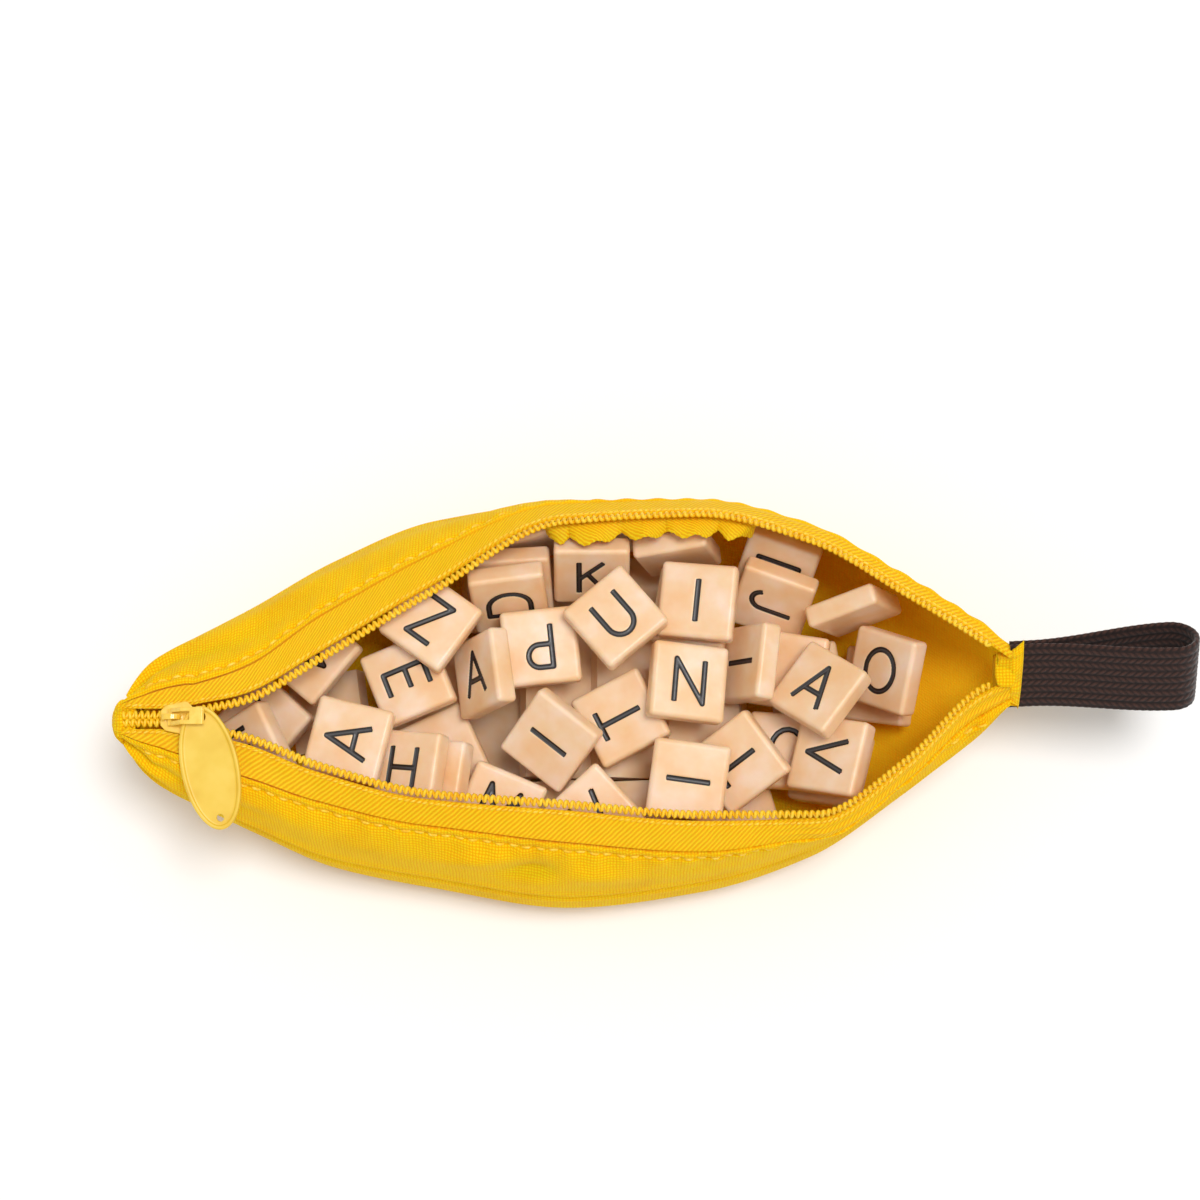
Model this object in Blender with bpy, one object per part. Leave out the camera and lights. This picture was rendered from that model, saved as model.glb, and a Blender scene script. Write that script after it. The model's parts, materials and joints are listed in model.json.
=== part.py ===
"""A soft zip pouch full of letter tiles: the travel case of a word tile game.

The pouch is a banana-shaped bag of three cloth panels. It lies on its base with its
mouth open, the zip slider near the left tip and a webbing strap at the right tip.
+X runs along the zip toward the strap, +Y to the back and +Z up. The origin is the
middle of the flat patch that the pouch rests on. Lengths are in metres, and a table
whose name ends in shares holds fractions of the size that it follows.
"""

import bpy
import bmesh
import numpy as np
from math import asin
from math import cos
from math import pi
from math import radians
from math import sin
from mathutils import Matrix
from mathutils import Vector

# Pouch
HALF_LENGTH = 0.112
HALF_WIDTH = 0.053
RIM_HEIGHT = 0.050
CLOTH = 0.0012
TAPE_THICKNESS = 0.0008
TAPE_WIDTH = 0.0095
SEAM_GAP = 0.0003
TIP_SEAM_LENGTH = 0.0024
TIP_SEAM_THICKNESS = 0.0052

# Zip chain
TOOTH_PITCH = 0.0015
CHAIN_HALF_WIDTH = 0.00225
TOOTH_REACH = 0.0011
TOOTH_OVERLAP = 0.00025
CHAIN_THICKNESS = 0.0016
CLOSED_CHAIN = 0.0076

# Slider, its link and the pull tab
SLIDER_LENGTH = 0.0076
PLATE_THICKNESS = 0.0009
LIP_THICKNESS = 0.00055
DIVIDER_WIDTH = 0.0008
DIVIDER_LENGTH = 0.0016
DIVIDER_INSET = 0.0004
RUNNING_GAP = 0.0003
CORNER_RADIUS = 0.0012
BRIDGE_LENGTH = 0.0046
BRIDGE_HEIGHT = 0.0027
BRIDGE_BAR = 0.0007
BRIDGE_WIDTH = 0.0014
BRIDGE_INSET = 0.0004
LINK_LENGTH = 0.0092
LINK_WIDTH = 0.0042
LINK_BAR = 0.0010
LINK_STEP = 0.0028
LINK_SLOPE_LENGTH = 0.0030
LINK_EYE_LENGTH = 0.0046
LINK_EYE_WIDTH = 0.0021
PEG_RADIUS = 0.0009
TAB_LENGTH = 0.0305
TAB_WIDTH = 0.0141
TAB_THICKNESS = 0.0015
TAB_RIM = 0.0011
TAB_RECESS = 0.0003
TAB_HOLE_INSET = 0.0026
TAB_HOLE_RADIUS = 0.0015
TAB_LIFT = 0.0007
TAB_DROOP = radians(9)
TAB_TURN = radians(12)

# Strap
WEBBING_WIDTH = 0.0185
WEBBING_THICKNESS = 0.0016
STRAP_LENGTH = 0.0435
LOOP_RADIUS = 0.0058
SEWN_LENGTH = 0.0030
STRAP_LEAN = radians(43)
STRAP_DRIFT = radians(3)

# Tiles
TILE_SIDE = 0.0190
TILE_THICKNESS = 0.0055
TILE_EDGE = 0.0009
TILE_GAP = 0.0003
WALL_GAP = 0.0007
ROW_PITCH = 0.0180
ROW_BITE = 0.0001

EASING = .5
HOMING = (.12, .12, .02)
CEILING_SHARE = .92
EASING_TURNS = 1500
COLUMNS = 44
ROUND_SIDES = 24

# Places along the pouch, from the left tip to the right one, as shares of HALF_LENGTH
STATION_SHARES = (-.972, -.93, -.87, -.82, -.70, -.53, -.30, .0, .30, .55, .75, .91, .975)
BACK_BELLY_SHARES = (-.015, .10, .21, .283, .458, .70, .915, 1., .962, .84, .594, .34, .21)
FRONT_BELLY_SHARES = (-.287, -.37, -.46, -.51, -.626, -.774, -.87, -.962, -.887, -.72, -.445, -.19, -.075)
BASE_SHARES = (.77, .67, .52, .42, .22, .068, .0, .0, .0, .084, .28, .56, .70)
BACK_RIM_SHARES = (.986, .986, .986, .986, .966, .94, .926, .92, .926, .94, .964, .99, .995)
FRONT_RIM_SHARES = (.986, .986, .986, .986, .966, .94, .92, .91, .91, .91, .92, .92, .91)
BACK_REACH_SHARES = (.12, .32, .53, .54, .74, 1., .90, .50, .43, .47, .47, .40, .34)
BACK_DROP_SHARES = (.0, .0, .0, .0, .12, .25, .35, .60, .70, .70, .60, .50, .40)
FRONT_REACH_SHARES = (.12, .32, .52, .61, .85, .72, .64, .80, .76, .42, .37, .47, .38)
FRONT_DROP_SHARES = (.0, .0, .0, .0, .10, .30, .35, .30, .30, .50, .60, .50, .40)

# How far each edge of the mouth stands off the zip line, along the open length
MOUTH_PLACE_SHARES = (0., .06, .15, .28, .45, .62, .76, .87, .96, 1.)
BACK_MOUTH_SHARES = (0., .054, .255, .56, .90, .93, .795, .55, .33, .22)
FRONT_MOUTH_SHARES = (0., .044, .175, .30, .35, .40, .393, .14, -.18, -.25)
ZIP_LINE_SHARE = -.154
CHAIN_START_SHARE = -.951
CHAIN_END_SHARE = .945

# Round the section: heights as shares of the wall, widths as shares of the half-width
UPPER_HEIGHT_SHARE = .80
SEAM_HEIGHT_SHARE = .52
LOWER_HEIGHT_SHARE = .27
UPPER_WIDTH_SHARE = .72
SEAM_WIDTH_SHARE = .965
UNDERSIDE_WIDTH_SHARE = .46
STITCH_KEY, SEAM_KEY = 1, 3
LAST_KEY = 11

# Hidden tiles lie in leaning rows: middle x and y, tiles long, tiles wide, turn in degrees
ROW_SHARES_AND_TURNS = (
    (.00, .00, 5, 2, 0),
    (.00, -.56, 3, 1, 0),
    (.00, .56, 3, 1, 180),
    (.139, .00, 3, 2, 180),
    (.065, -.565, 2, 1, 0),
    (-.545, -.03, 1, 1, 8),
)

# Tiles that show: middle of the face as shares of HALF_LENGTH, HALF_WIDTH and RIM_HEIGHT,
# then in degrees the way the letter's top points, the tilt and the way the face leans
TILE_SHARES_AND_TURNS = (
    (.305, .515, .72, 80, 5, 180),
    (.550, .035, .56, 100, 8, 150),
    (.490, .210, .60, 80, 10, 200),
    (.395, -.600, .50, 104, 16, 90),
    (.490, -.235, .60, 85, 6, 170),
    (.055, -.600, .68, 133, 8, -90),
    (.685, .085, .52, 80, 38, 185),
    (.605, -.335, .54, 76, 32, 165),
    (.465, .600, .70, -20, 45, -110),
    (-.120, .545, .66, 94, 55, -88),
    (.055, .555, .80, 90, 58, -90),
    (-.135, .440, .80, 188, 58, -84),
    (.470, .415, .70, -20, 50, -110),
    (-.085, .690, .84, 120, 84, -80),
    (.100, .775, .84, 90, 86, -90),
    (.240, .700, .80, 110, 84, -84),
    (.632, .335, .66, 130, 84, -76),
    (-.690, -.120, .70, 138, 10, 200),
    (-.575, .190, .76, 140, 8, 200),
    (-.705, -.290, .78, 117, 30, 200),
    (-.285, -.240, .54, 115, 4, 205),
    (-.313, -.385, .70, 82, 27, 172),
    (-.362, -.340, .80, 82, 27, 172),
    (-.360, .035, .74, 22, 6, 200),
    (-.490, -.230, .84, 166, 4, 200),
    (-.200, .100, .72, 100, 56, 185),
    (-.300, .360, .83, 54, 2, 140),
    (-.075, .215, .82, 276, 3, 250),
    (.100, -.140, .74, 207, 8, 200),
    (-.055, -.200, .86, 142, 28, 228),
    (-.110, -.535, .70, 67, 8, -100),
    (.120, .320, .84, 130, 5, 130),
    (.285, .435, .82, 84, 8, 170),
    (.380, .160, .74, 173, 60, 173),
    (.270, .055, .80, 85, 12, 0),
    (.365, -.300, .76, 216, 18, 216),
    (.250, -.450, .78, 172, 8, -100),
    (.565, -.285, .66, -14, 32, 165),
    (.690, .150, .62, 72, 45, 190),
    (.540, .035, .70, 53, 30, 143),
)

YELLOW_CANVAS = (.98, .55, .008)
YELLOW_TAPE = (.95, .50, .006)
YELLOW_METAL = (.90, .62, .07)
YELLOW_RUBBER = (.93, .70, .15)
BROWN_WEBBING = (.045, .022, .022)
PEACH_PLASTIC = (.95, .66, .43)

for old in list(bpy.data.objects):
    bpy.data.objects.remove(old)
pouch = bpy.data.collections.new("travel_word_tile_game_case")
cutters = bpy.data.collections.new("cutters")
bpy.context.scene.collection.children.link(pouch)
bpy.context.scene.collection.children.link(cutters)


def paint(name, colour, roughness, metallic=0.0):
    """A plain Principled material of the piece's own."""
    material = bpy.data.materials.new(name)
    material.use_nodes = True
    shader = material.node_tree.nodes["Principled BSDF"]
    shader.inputs["Base Color"].default_value = (*colour, 1.0)
    shader.inputs["Roughness"].default_value = roughness
    shader.inputs["Metallic"].default_value = metallic
    return material


def add_mesh(name, mesh, colour, roughness, metallic=0.0):
    """Put a finished mesh into the pouch's collection as one named piece."""
    piece = bpy.data.objects.new(name, mesh)
    piece.data.materials.append(paint(name, colour, roughness, metallic))
    pouch.objects.link(piece)
    return piece


def mesh_from(name, points, faces):
    mesh = bpy.data.meshes.new(name)
    mesh.from_pydata([tuple(point) for point in points], [], [tuple(face) for face in faces])
    mesh.update()
    return mesh


def monotone(knots, values, places):
    """Smooth curve through the values that never swings past them.

    Each slope is the harmonic mean of the rises on its two sides, and zero at a turn.
    The values may be one row or a table with one column for each column of places.
    """
    knots = np.asarray(knots, float)
    values = np.asarray(values, float)
    places = np.asarray(places, float)
    flat = values.ndim == 1
    if flat:
        values = values[:, None]
    table_places = places.reshape(-1, 1) if flat else places
    steps = np.diff(knots)[:, None]
    rises = np.diff(values, axis=0) / steps
    product = rises[:-1] * rises[1:]
    total = rises[:-1] + rises[1:]
    safe = np.where(product > 0, total, 1.0)
    inner = np.where(product > 0, 2 * product / safe, 0.0)
    slopes = np.vstack([rises[:1], inner, rises[-1:]])
    cell = np.clip(np.searchsorted(knots, table_places, side="right") - 1, 0, len(knots) - 2)
    columns = np.arange(values.shape[1])[None, :]
    width = steps[cell, 0]
    t = (table_places - knots[cell]) / width
    start, end = values[cell, columns], values[cell + 1, columns]
    first, last = slopes[cell, columns] * width, slopes[cell + 1, columns] * width
    result = (start * (1 + 2 * t) * (1 - t) ** 2 + end * (3 - 2 * t) * t ** 2
              + first * t * (1 - t) ** 2 + last * (t - 1) * t ** 2)
    return result.reshape(places.shape)


def along(shares, x, size):
    """A size that changes along the pouch, read at x."""
    return monotone(np.array(STATION_SHARES) * HALF_LENGTH, np.array(shares) * size, x)


# Where the zip's parts stand along X
CHAIN_START = CHAIN_START_SHARE * HALF_LENGTH
SLIDER_TAIL = CHAIN_START + CLOSED_CHAIN
SLIDER_MOUTH = SLIDER_TAIL + SLIDER_LENGTH
DIVIDER_FRONT = SLIDER_MOUTH - DIVIDER_INSET
DIVIDER_BACK = DIVIDER_FRONT - DIVIDER_LENGTH
ZIP_LINE = ZIP_LINE_SHARE * HALF_WIDTH
TAPE_EDGE = CHAIN_HALF_WIDTH + SEAM_GAP
SPLIT = DIVIDER_WIDTH / 2 + RUNNING_GAP + TOOTH_OVERLAP
RIGHT_END = STATION_SHARES[-1] * HALF_LENGTH
LEFT_END = STATION_SHARES[0] * HALF_LENGTH


def rim(side, x):
    """Free edge of the zip tape: side is 1 at the back and -1 at the front."""
    x = np.asarray(x, float)
    mouth_shares = BACK_MOUTH_SHARES if side > 0 else FRONT_MOUTH_SHARES
    open_length = RIGHT_END - SLIDER_MOUTH
    place = np.clip((x - SLIDER_MOUTH) / open_length, 0, 1)
    mouth = monotone(MOUTH_PLACE_SHARES, np.array(mouth_shares) * HALF_WIDTH, place)
    split = np.interp(x, [SLIDER_TAIL, DIVIDER_BACK], [0, SPLIT])
    heights = BACK_RIM_SHARES if side > 0 else FRONT_RIM_SHARES
    y = ZIP_LINE + side * (TAPE_EDGE + split + mouth)
    return y, along(heights, x, RIM_HEIGHT)


def section_keys(x):
    """The twelve key points round the section at each x, from the back rim to the front."""
    back_y, back_z = rim(1, x)
    front_y, front_z = rim(-1, x)
    base = along(BASE_SHARES, x, RIM_HEIGHT)
    back_belly = along(BACK_BELLY_SHARES, x, HALF_WIDTH)
    front_belly = along(FRONT_BELLY_SHARES, x, HALF_WIDTH)
    middle = (back_belly + front_belly) / 2
    half = (back_belly - front_belly) / 2
    halves = []
    for side, y, z, reach, drop in (
            (1, back_y, back_z, BACK_REACH_SHARES, BACK_DROP_SHARES),
            (-1, front_y, front_z, FRONT_REACH_SHARES, FRONT_DROP_SHARES)):
        stitch_y = y + side * along(reach, x, TAPE_WIDTH)
        stitch_z = z - along(drop, x, TAPE_WIDTH)
        wall = stitch_z - base
        seam_y = middle + side * half * SEAM_WIDTH_SHARE
        upper_y = stitch_y + (seam_y - stitch_y) * UPPER_WIDTH_SHARE
        halves.append([
            (y, z),
            (stitch_y, stitch_z),
            (upper_y, base + wall * UPPER_HEIGHT_SHARE),
            (seam_y, base + wall * SEAM_HEIGHT_SHARE),
            (middle + side * half, base + wall * LOWER_HEIGHT_SHARE),
            (middle + side * half * UNDERSIDE_WIDTH_SHARE, base)])
    keys = halves[0] + halves[1][::-1]
    return np.array([key[0] for key in keys]), np.array([key[1] for key in keys])


def surface(x, around):
    """Outer surface of the pouch: x along it, around from 0 at the back rim to 11."""
    ys, zs = section_keys(x)
    knots = np.arange(LAST_KEY + 1)
    columns = np.broadcast_to(x, around.shape)
    return np.stack([columns, monotone(knots, ys, around), monotone(knots, zs, around)], axis=-1)


def outward(x, around):
    """Unit normals of the outer surface, from small steps both ways on it."""
    dx = SEAM_GAP
    dv = 1e-3
    across = surface(x, np.clip(around + dv, 0, LAST_KEY)) - surface(x, np.clip(around - dv, 0, LAST_KEY))
    lengthwise = surface(x + dx, around) - surface(x - dx, around)
    normals = np.cross(lengthwise, across)
    return normals / np.linalg.norm(normals, axis=-1, keepdims=True)


def columns_along():
    """Places of the columns of faces, closer together toward the tips."""
    middle = (LEFT_END + RIGHT_END) / 2
    reach = (RIGHT_END - LEFT_END) / 2
    return middle + reach * np.sin(np.linspace(-pi / 2, pi / 2, COLUMNS))


def shell(name, start, end, rows, thickness, colour, roughness):
    """A panel or tape between two key lines of the section, with its cloth inward.

    Where it meets its neighbour it stops half a seam gap short of the key line.
    """
    x = columns_along()
    shares = np.linspace(0, 1, rows)[:, None]
    around = start + (end - start) * np.broadcast_to(shares, (rows, COLUMNS))
    step = 1e-3
    first, last = around[:1], around[-1:]
    speed_first = np.linalg.norm(surface(x, first + step) - surface(x, first), axis=-1) / step
    speed_last = np.linalg.norm(surface(x, last) - surface(x, last - step), axis=-1) / step
    trim_first = 0 if start == 0 else SEAM_GAP / 2 / speed_first
    trim_last = 0 if end == LAST_KEY else SEAM_GAP / 2 / speed_last
    around = around + trim_first * (1 - shares) - trim_last * shares
    outer = surface(x, around)
    inner = outer - thickness * outward(x, around)
    points = np.concatenate([outer.reshape(-1, 3), inner.reshape(-1, 3)])
    count = rows * COLUMNS
    faces = []
    for row in range(rows - 1):
        for column in range(COLUMNS - 1):
            a = row * COLUMNS + column
            b, c, d = a + 1, a + COLUMNS + 1, a + COLUMNS
            faces.append((a, d, c, b))
            faces.append((a + count, b + count, c + count, d + count))
    for column in range(COLUMNS - 1):
        a, b = column, column + 1
        faces.append((a, b, b + count, a + count))
        a, b = (rows - 1) * COLUMNS + column, (rows - 1) * COLUMNS + column + 1
        faces.append((a, a + count, b + count, b))
    for row in range(rows - 1):
        a, b = row * COLUMNS, (row + 1) * COLUMNS
        faces.append((a, a + count, b + count, b))
        a, b = a + COLUMNS - 1, b + COLUMNS - 1
        faces.append((a, b, b + count, a + count))
    mesh = mesh_from(name, points, faces)
    close_outward(mesh)
    mesh.shade_smooth()
    mesh.set_sharp_from_angle(angle=radians(50))
    return add_mesh(name, mesh, colour, roughness)


def close_outward(mesh):
    """Turn the faces of a closed mesh outward."""
    work = bmesh.new()
    work.from_mesh(mesh)
    bmesh.ops.recalc_face_normals(work, faces=work.faces)
    if work.calc_volume(signed=True) < 0:
        bmesh.ops.reverse_faces(work, faces=work.faces)
    work.to_mesh(mesh)
    work.free()


def sewn_panels():
    shell("back_panel", STITCH_KEY, SEAM_KEY, 7, CLOTH, YELLOW_CANVAS, .85)
    shell("base_panel", SEAM_KEY, LAST_KEY - SEAM_KEY, 11, CLOTH, YELLOW_CANVAS, .85)
    shell("front_panel", LAST_KEY - SEAM_KEY, LAST_KEY - STITCH_KEY, 7, CLOTH, YELLOW_CANVAS, .85)
    shell("back_zip_tape", 0, STITCH_KEY, 4, TAPE_THICKNESS, YELLOW_TAPE, .8)
    shell("front_zip_tape", LAST_KEY - STITCH_KEY, LAST_KEY, 4, TAPE_THICKNESS, YELLOW_TAPE, .8)


def zip_teeth(name, side):
    """One half of the zip chain: a cord along the tape's edge with a tooth each pitch.

    The two halves run in step through the closed chain, half a pitch apart, so that a
    tooth of one stands between two teeth of the other.
    """
    columns = columns_along()
    edge = np.full((1, COLUMNS), 0.0 if side > 0 else LAST_KEY)
    normals = outward(columns, edge)[0]
    track = surface(columns, edge)[0] - normals * TAPE_THICKNESS / 2
    fine = np.linspace(CHAIN_START, CHAIN_END_SHARE * HALF_LENGTH, 4000)
    track = np.stack([np.interp(fine, columns, track[:, axis]) for axis in range(3)], axis=-1)
    normals = np.stack([np.interp(fine, columns, normals[:, axis]) for axis in range(3)], axis=-1)
    run = np.concatenate([[0], np.cumsum(np.linalg.norm(np.diff(track, axis=0), axis=1))])
    halves = int(run[-1] / TOOTH_PITCH) * 2
    places = np.arange(halves) * TOOTH_PITCH / 2
    path = np.stack([np.interp(places, run, track[:, axis]) for axis in range(3)], axis=-1)
    up = np.stack([np.interp(places, run, normals[:, axis]) for axis in range(3)], axis=-1)
    ahead = np.gradient(path, axis=0)
    inward = side * np.cross(ahead, up)
    inward /= np.linalg.norm(inward, axis=1, keepdims=True)
    up = side * np.cross(inward, ahead)
    up /= np.linalg.norm(up, axis=1, keepdims=True)
    tooth = (np.arange(halves) % 2) == (0 if side > 0 else 1)
    tip = CHAIN_HALF_WIDTH + TOOTH_OVERLAP
    reach = np.where(tooth, tip, tip - TOOTH_REACH)[:, None]
    height = np.where(tooth, CHAIN_THICKNESS * .36, CHAIN_THICKNESS * .5)[:, None]
    root = path + inward * SEAM_GAP
    far = path + inward * (SEAM_GAP + reach)
    corners = np.stack([root + up * CHAIN_THICKNESS / 2, root - up * CHAIN_THICKNESS / 2,
                        far - up * height, far + up * height], axis=1)
    faces = []
    for step in range(halves - 1):
        for corner in range(4):
            a, b = step * 4 + corner, step * 4 + (corner + 1) % 4
            faces.append((a, b, b + 4, a + 4))
    last = (halves - 1) * 4
    faces.append((0, 3, 2, 1))
    faces.append((last, last + 1, last + 2, last + 3))
    mesh = mesh_from(name, corners.reshape(-1, 3), faces)
    close_outward(mesh)
    add_mesh(name, mesh, YELLOW_TAPE, .45)


def plate_mesh(name, outlines, thickness):
    """A flat plate in XY, centred on Z = 0: the first outline less the others."""
    curve = bpy.data.curves.new(name, "CURVE")
    curve.dimensions = "2D"
    curve.fill_mode = "BOTH"
    curve.extrude = thickness / 2
    for outline in outlines:
        spline = curve.splines.new("POLY")
        spline.points.add(len(outline) - 1)
        for point, place in zip(spline.points, outline):
            point.co = (place[0], place[1], 0, 1)
        spline.use_cyclic_u = True
    holder = bpy.data.objects.new(name, curve)
    cutters.objects.link(holder)
    holder.hide_render = True
    bpy.context.view_layer.update()
    mesh = bpy.data.meshes.new_from_object(holder.evaluated_get(bpy.context.evaluated_depsgraph_get()))
    bpy.data.objects.remove(holder)
    work = bmesh.new()
    work.from_mesh(mesh)
    bmesh.ops.remove_doubles(work, verts=work.verts, dist=1e-6)
    bmesh.ops.recalc_face_normals(work, faces=work.faces)
    work.to_mesh(mesh)
    work.free()
    return mesh


def circle(centre, radius, sides=ROUND_SIDES):
    angles = np.linspace(0, 2 * pi, sides, endpoint=False)
    return [(centre[0] + radius * cos(a), centre[1] + radius * sin(a)) for a in angles]


def oval(length, width, sides=40):
    angles = np.linspace(0, 2 * pi, sides, endpoint=False)
    return [(width / 2 * sin(a), length / 2 * cos(a)) for a in angles]


def box_mesh(name, low, high):
    """A box between two corners."""
    work = bmesh.new()
    bmesh.ops.create_cube(work, size=1)
    low, high = Vector(low), Vector(high)
    place = Matrix.Translation((low + high) / 2) @ Matrix.Diagonal((*(high - low), 1))
    bmesh.ops.transform(work, matrix=place, verts=work.verts)
    mesh = bpy.data.meshes.new(name)
    work.to_mesh(mesh)
    work.free()
    return mesh


def combined(name, mesh, others):
    """Joins or cuts a mesh with others: each is a mesh and UNION or DIFFERENCE."""
    target = bpy.data.objects.new(name, mesh)
    cutters.objects.link(target)
    for other, operation in others:
        tool = bpy.data.objects.new(name + "_tool", other)
        cutters.objects.link(tool)
        modifier = target.modifiers.new(operation.lower(), "BOOLEAN")
        modifier.operation = operation
        modifier.object = tool
        modifier.solver = "EXACT"
    bpy.context.view_layer.update()
    result = bpy.data.meshes.new_from_object(target.evaluated_get(bpy.context.evaluated_depsgraph_get()))
    for modifier in list(target.modifiers):
        tool = modifier.object
        target.modifiers.remove(modifier)
        bpy.data.objects.remove(tool)
    bpy.data.objects.remove(target)
    result.name = name
    return result


def moved(mesh, matrix):
    mesh.transform(matrix)
    return mesh


def slider_outline(edge):
    """Plan of the slider at a distance outside the chain: narrow tail, flared mouth."""
    tail = CHAIN_HALF_WIDTH + RUNNING_GAP + edge
    mouth = tail + SPLIT
    return [(SLIDER_TAIL, tail), (DIVIDER_BACK, mouth), (SLIDER_MOUTH, mouth)]


def slider_body():
    """Two plates joined by a divider, with lips that wrap the chain and leave a slot for
    the tape, and an arched bridge for the pull link, cast in one piece."""
    middle = along(BACK_RIM_SHARES, SLIDER_TAIL, RIM_HEIGHT) - TAPE_THICKNESS / 2
    half_room = CHAIN_THICKNESS / 2 + RUNNING_GAP
    half_slot = TAPE_THICKNESS / 2 + RUNNING_GAP
    outer = slider_outline(LIP_THICKNESS)
    corner = CORNER_RADIUS
    plan = [(SLIDER_TAIL + corner, outer[0][1])] + outer[1:2]
    plan += [(SLIDER_MOUTH - corner, outer[2][1]), (SLIDER_MOUTH, outer[2][1] - corner)]
    plan = [(SLIDER_TAIL, outer[0][1] - corner)] + plan
    plan = plan + [(x, -y) for x, y in plan[::-1]]
    pieces = []
    for way in (1, -1):
        top = plate_mesh("plate", [plan], PLATE_THICKNESS)
        lift = way * (half_room + PLATE_THICKNESS / 2)
        pieces.append(moved(top, Matrix.Translation((0, 0, lift))))
        inner = slider_outline(0)
        for hand in (1, -1):
            strip = [(x, hand * y) for x, y in inner]
            strip += [(x, hand * y) for x, y in outer[::-1]]
            shortened = [(min(max(x, SLIDER_TAIL + corner), SLIDER_MOUTH - corner), y) for x, y in strip]
            lip_height = half_room - half_slot + PLATE_THICKNESS / 2
            lip = plate_mesh("lip", [shortened], lip_height)
            pieces.append(moved(lip, Matrix.Translation((0, 0, way * (half_slot + lip_height / 2)))))
    divider_half = half_room + PLATE_THICKNESS / 2
    divider = [(DIVIDER_BACK, 0), (DIVIDER_BACK + DIVIDER_WIDTH / 2, DIVIDER_WIDTH / 2),
               (DIVIDER_FRONT, DIVIDER_WIDTH / 2), (DIVIDER_FRONT, -DIVIDER_WIDTH / 2),
               (DIVIDER_BACK + DIVIDER_WIDTH / 2, -DIVIDER_WIDTH / 2)]
    pieces.append(plate_mesh("divider", [divider], 2 * divider_half))
    start = SLIDER_TAIL + BRIDGE_INSET
    end = start + BRIDGE_LENGTH
    centre = (start + end) / 2
    foot = half_room + PLATE_THICKNESS / 2
    top = half_room + PLATE_THICKNESS + BRIDGE_HEIGHT
    angles = np.linspace(pi, 0, 9)
    rise = BRIDGE_HEIGHT / 2
    arch = [(start, foot)]
    arch += [(centre + BRIDGE_LENGTH / 2 * cos(a), top - rise + rise * sin(a)) for a in angles]
    arch += [(end, foot), (end - BRIDGE_BAR, foot)]
    span = BRIDGE_LENGTH / 2 - BRIDGE_BAR
    arch += [(centre + span * cos(a), top - rise + (rise - BRIDGE_BAR) * sin(a)) for a in angles[::-1]]
    arch += [(start + BRIDGE_BAR, foot)]
    bridge = plate_mesh("bridge", [arch], BRIDGE_WIDTH)
    pieces.append(moved(bridge, Matrix.Rotation(pi / 2, 4, "X")))
    whole = combined("slider_body", pieces[0], [(piece, "UNION") for piece in pieces[1:]])
    moved(whole, Matrix.Translation((0, ZIP_LINE, middle)))
    add_mesh("slider_body", whole, YELLOW_METAL, .35, .2)
    return middle + half_room + PLATE_THICKNESS


def link_axis(plate_top):
    """The crossbar on which the link swings, under the slider's bridge."""
    x = SLIDER_TAIL + BRIDGE_INSET + BRIDGE_BAR + RUNNING_GAP + LINK_BAR
    return Vector((x, ZIP_LINE, plate_top + RUNNING_GAP + LINK_BAR / 2))


def pull_link(plate_top):
    """A stepped flat link: an eye round the bridge, and a peg down through the tab."""
    axis = link_axis(plate_top)
    half = LINK_BAR / 2
    low = [(-half, -half), (half, -half), (half + LINK_SLOPE_LENGTH, LINK_STEP - half),
           (LINK_LENGTH - LINK_BAR, LINK_STEP - half), (LINK_LENGTH - half, LINK_STEP)]
    high = [(LINK_LENGTH - LINK_BAR, LINK_STEP + half), (half + LINK_SLOPE_LENGTH - half, LINK_STEP + half),
            (half - half, half), (-half, half)]
    bar = moved(plate_mesh("link", [low + high], LINK_WIDTH), Matrix.Rotation(pi / 2, 4, "X"))
    eye = box_mesh("eye", (half, -LINK_EYE_WIDTH / 2, -LINK_STEP),
                   (half + LINK_EYE_LENGTH, LINK_EYE_WIDTH / 2, 2 * LINK_STEP))
    peg_length = TAB_THICKNESS + TAB_LIFT + half
    peg_x = LINK_LENGTH - LINK_BAR - PEG_RADIUS
    peg = plate_mesh("peg", [circle((peg_x, 0), PEG_RADIUS, 16)], peg_length)
    moved(peg, Matrix.Translation((0, 0, LINK_STEP - peg_length / 2)))
    whole = combined("pull_link", bar, [(eye, "DIFFERENCE"), (peg, "UNION")])
    piece = add_mesh("pull_link", whole, YELLOW_METAL, .35, .2)
    piece.location = axis
    return axis + Vector((peg_x, 0, LINK_STEP - half))


def pull_tab(peg_top):
    """A flat oval tab with a raised rim round a sunk bare field, and a hole at each end."""
    hole = TAB_LENGTH / 2 - TAB_HOLE_INSET
    body = plate_mesh("tab", [oval(TAB_LENGTH, TAB_WIDTH), circle((0, hole), TAB_HOLE_RADIUS, 16),
                              circle((0, -hole), TAB_HOLE_RADIUS * .85, 16)], TAB_THICKNESS)
    field_length = 2 * (hole - TAB_HOLE_RADIUS - TAB_RIM)
    field = plate_mesh("field", [oval(field_length, TAB_WIDTH - 2 * TAB_RIM)], 2 * TAB_RECESS)
    moved(field, Matrix.Translation((0, 0, TAB_THICKNESS / 2)))
    whole = combined("pull_tab", body, [(field, "DIFFERENCE")])
    moved(whole, Matrix.Translation((0, -hole, 0)))
    piece = add_mesh("pull_tab", whole, YELLOW_RUBBER, .5)
    piece.location = peg_top - Vector((0, 0, RUNNING_GAP + TAB_THICKNESS / 2 + TAB_LIFT / 2))
    piece.rotation_euler = (Matrix.Rotation(TAB_DROOP, 4, "X") @ Matrix.Rotation(TAB_TURN, 4, "Z")).to_euler()
    return piece


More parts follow.
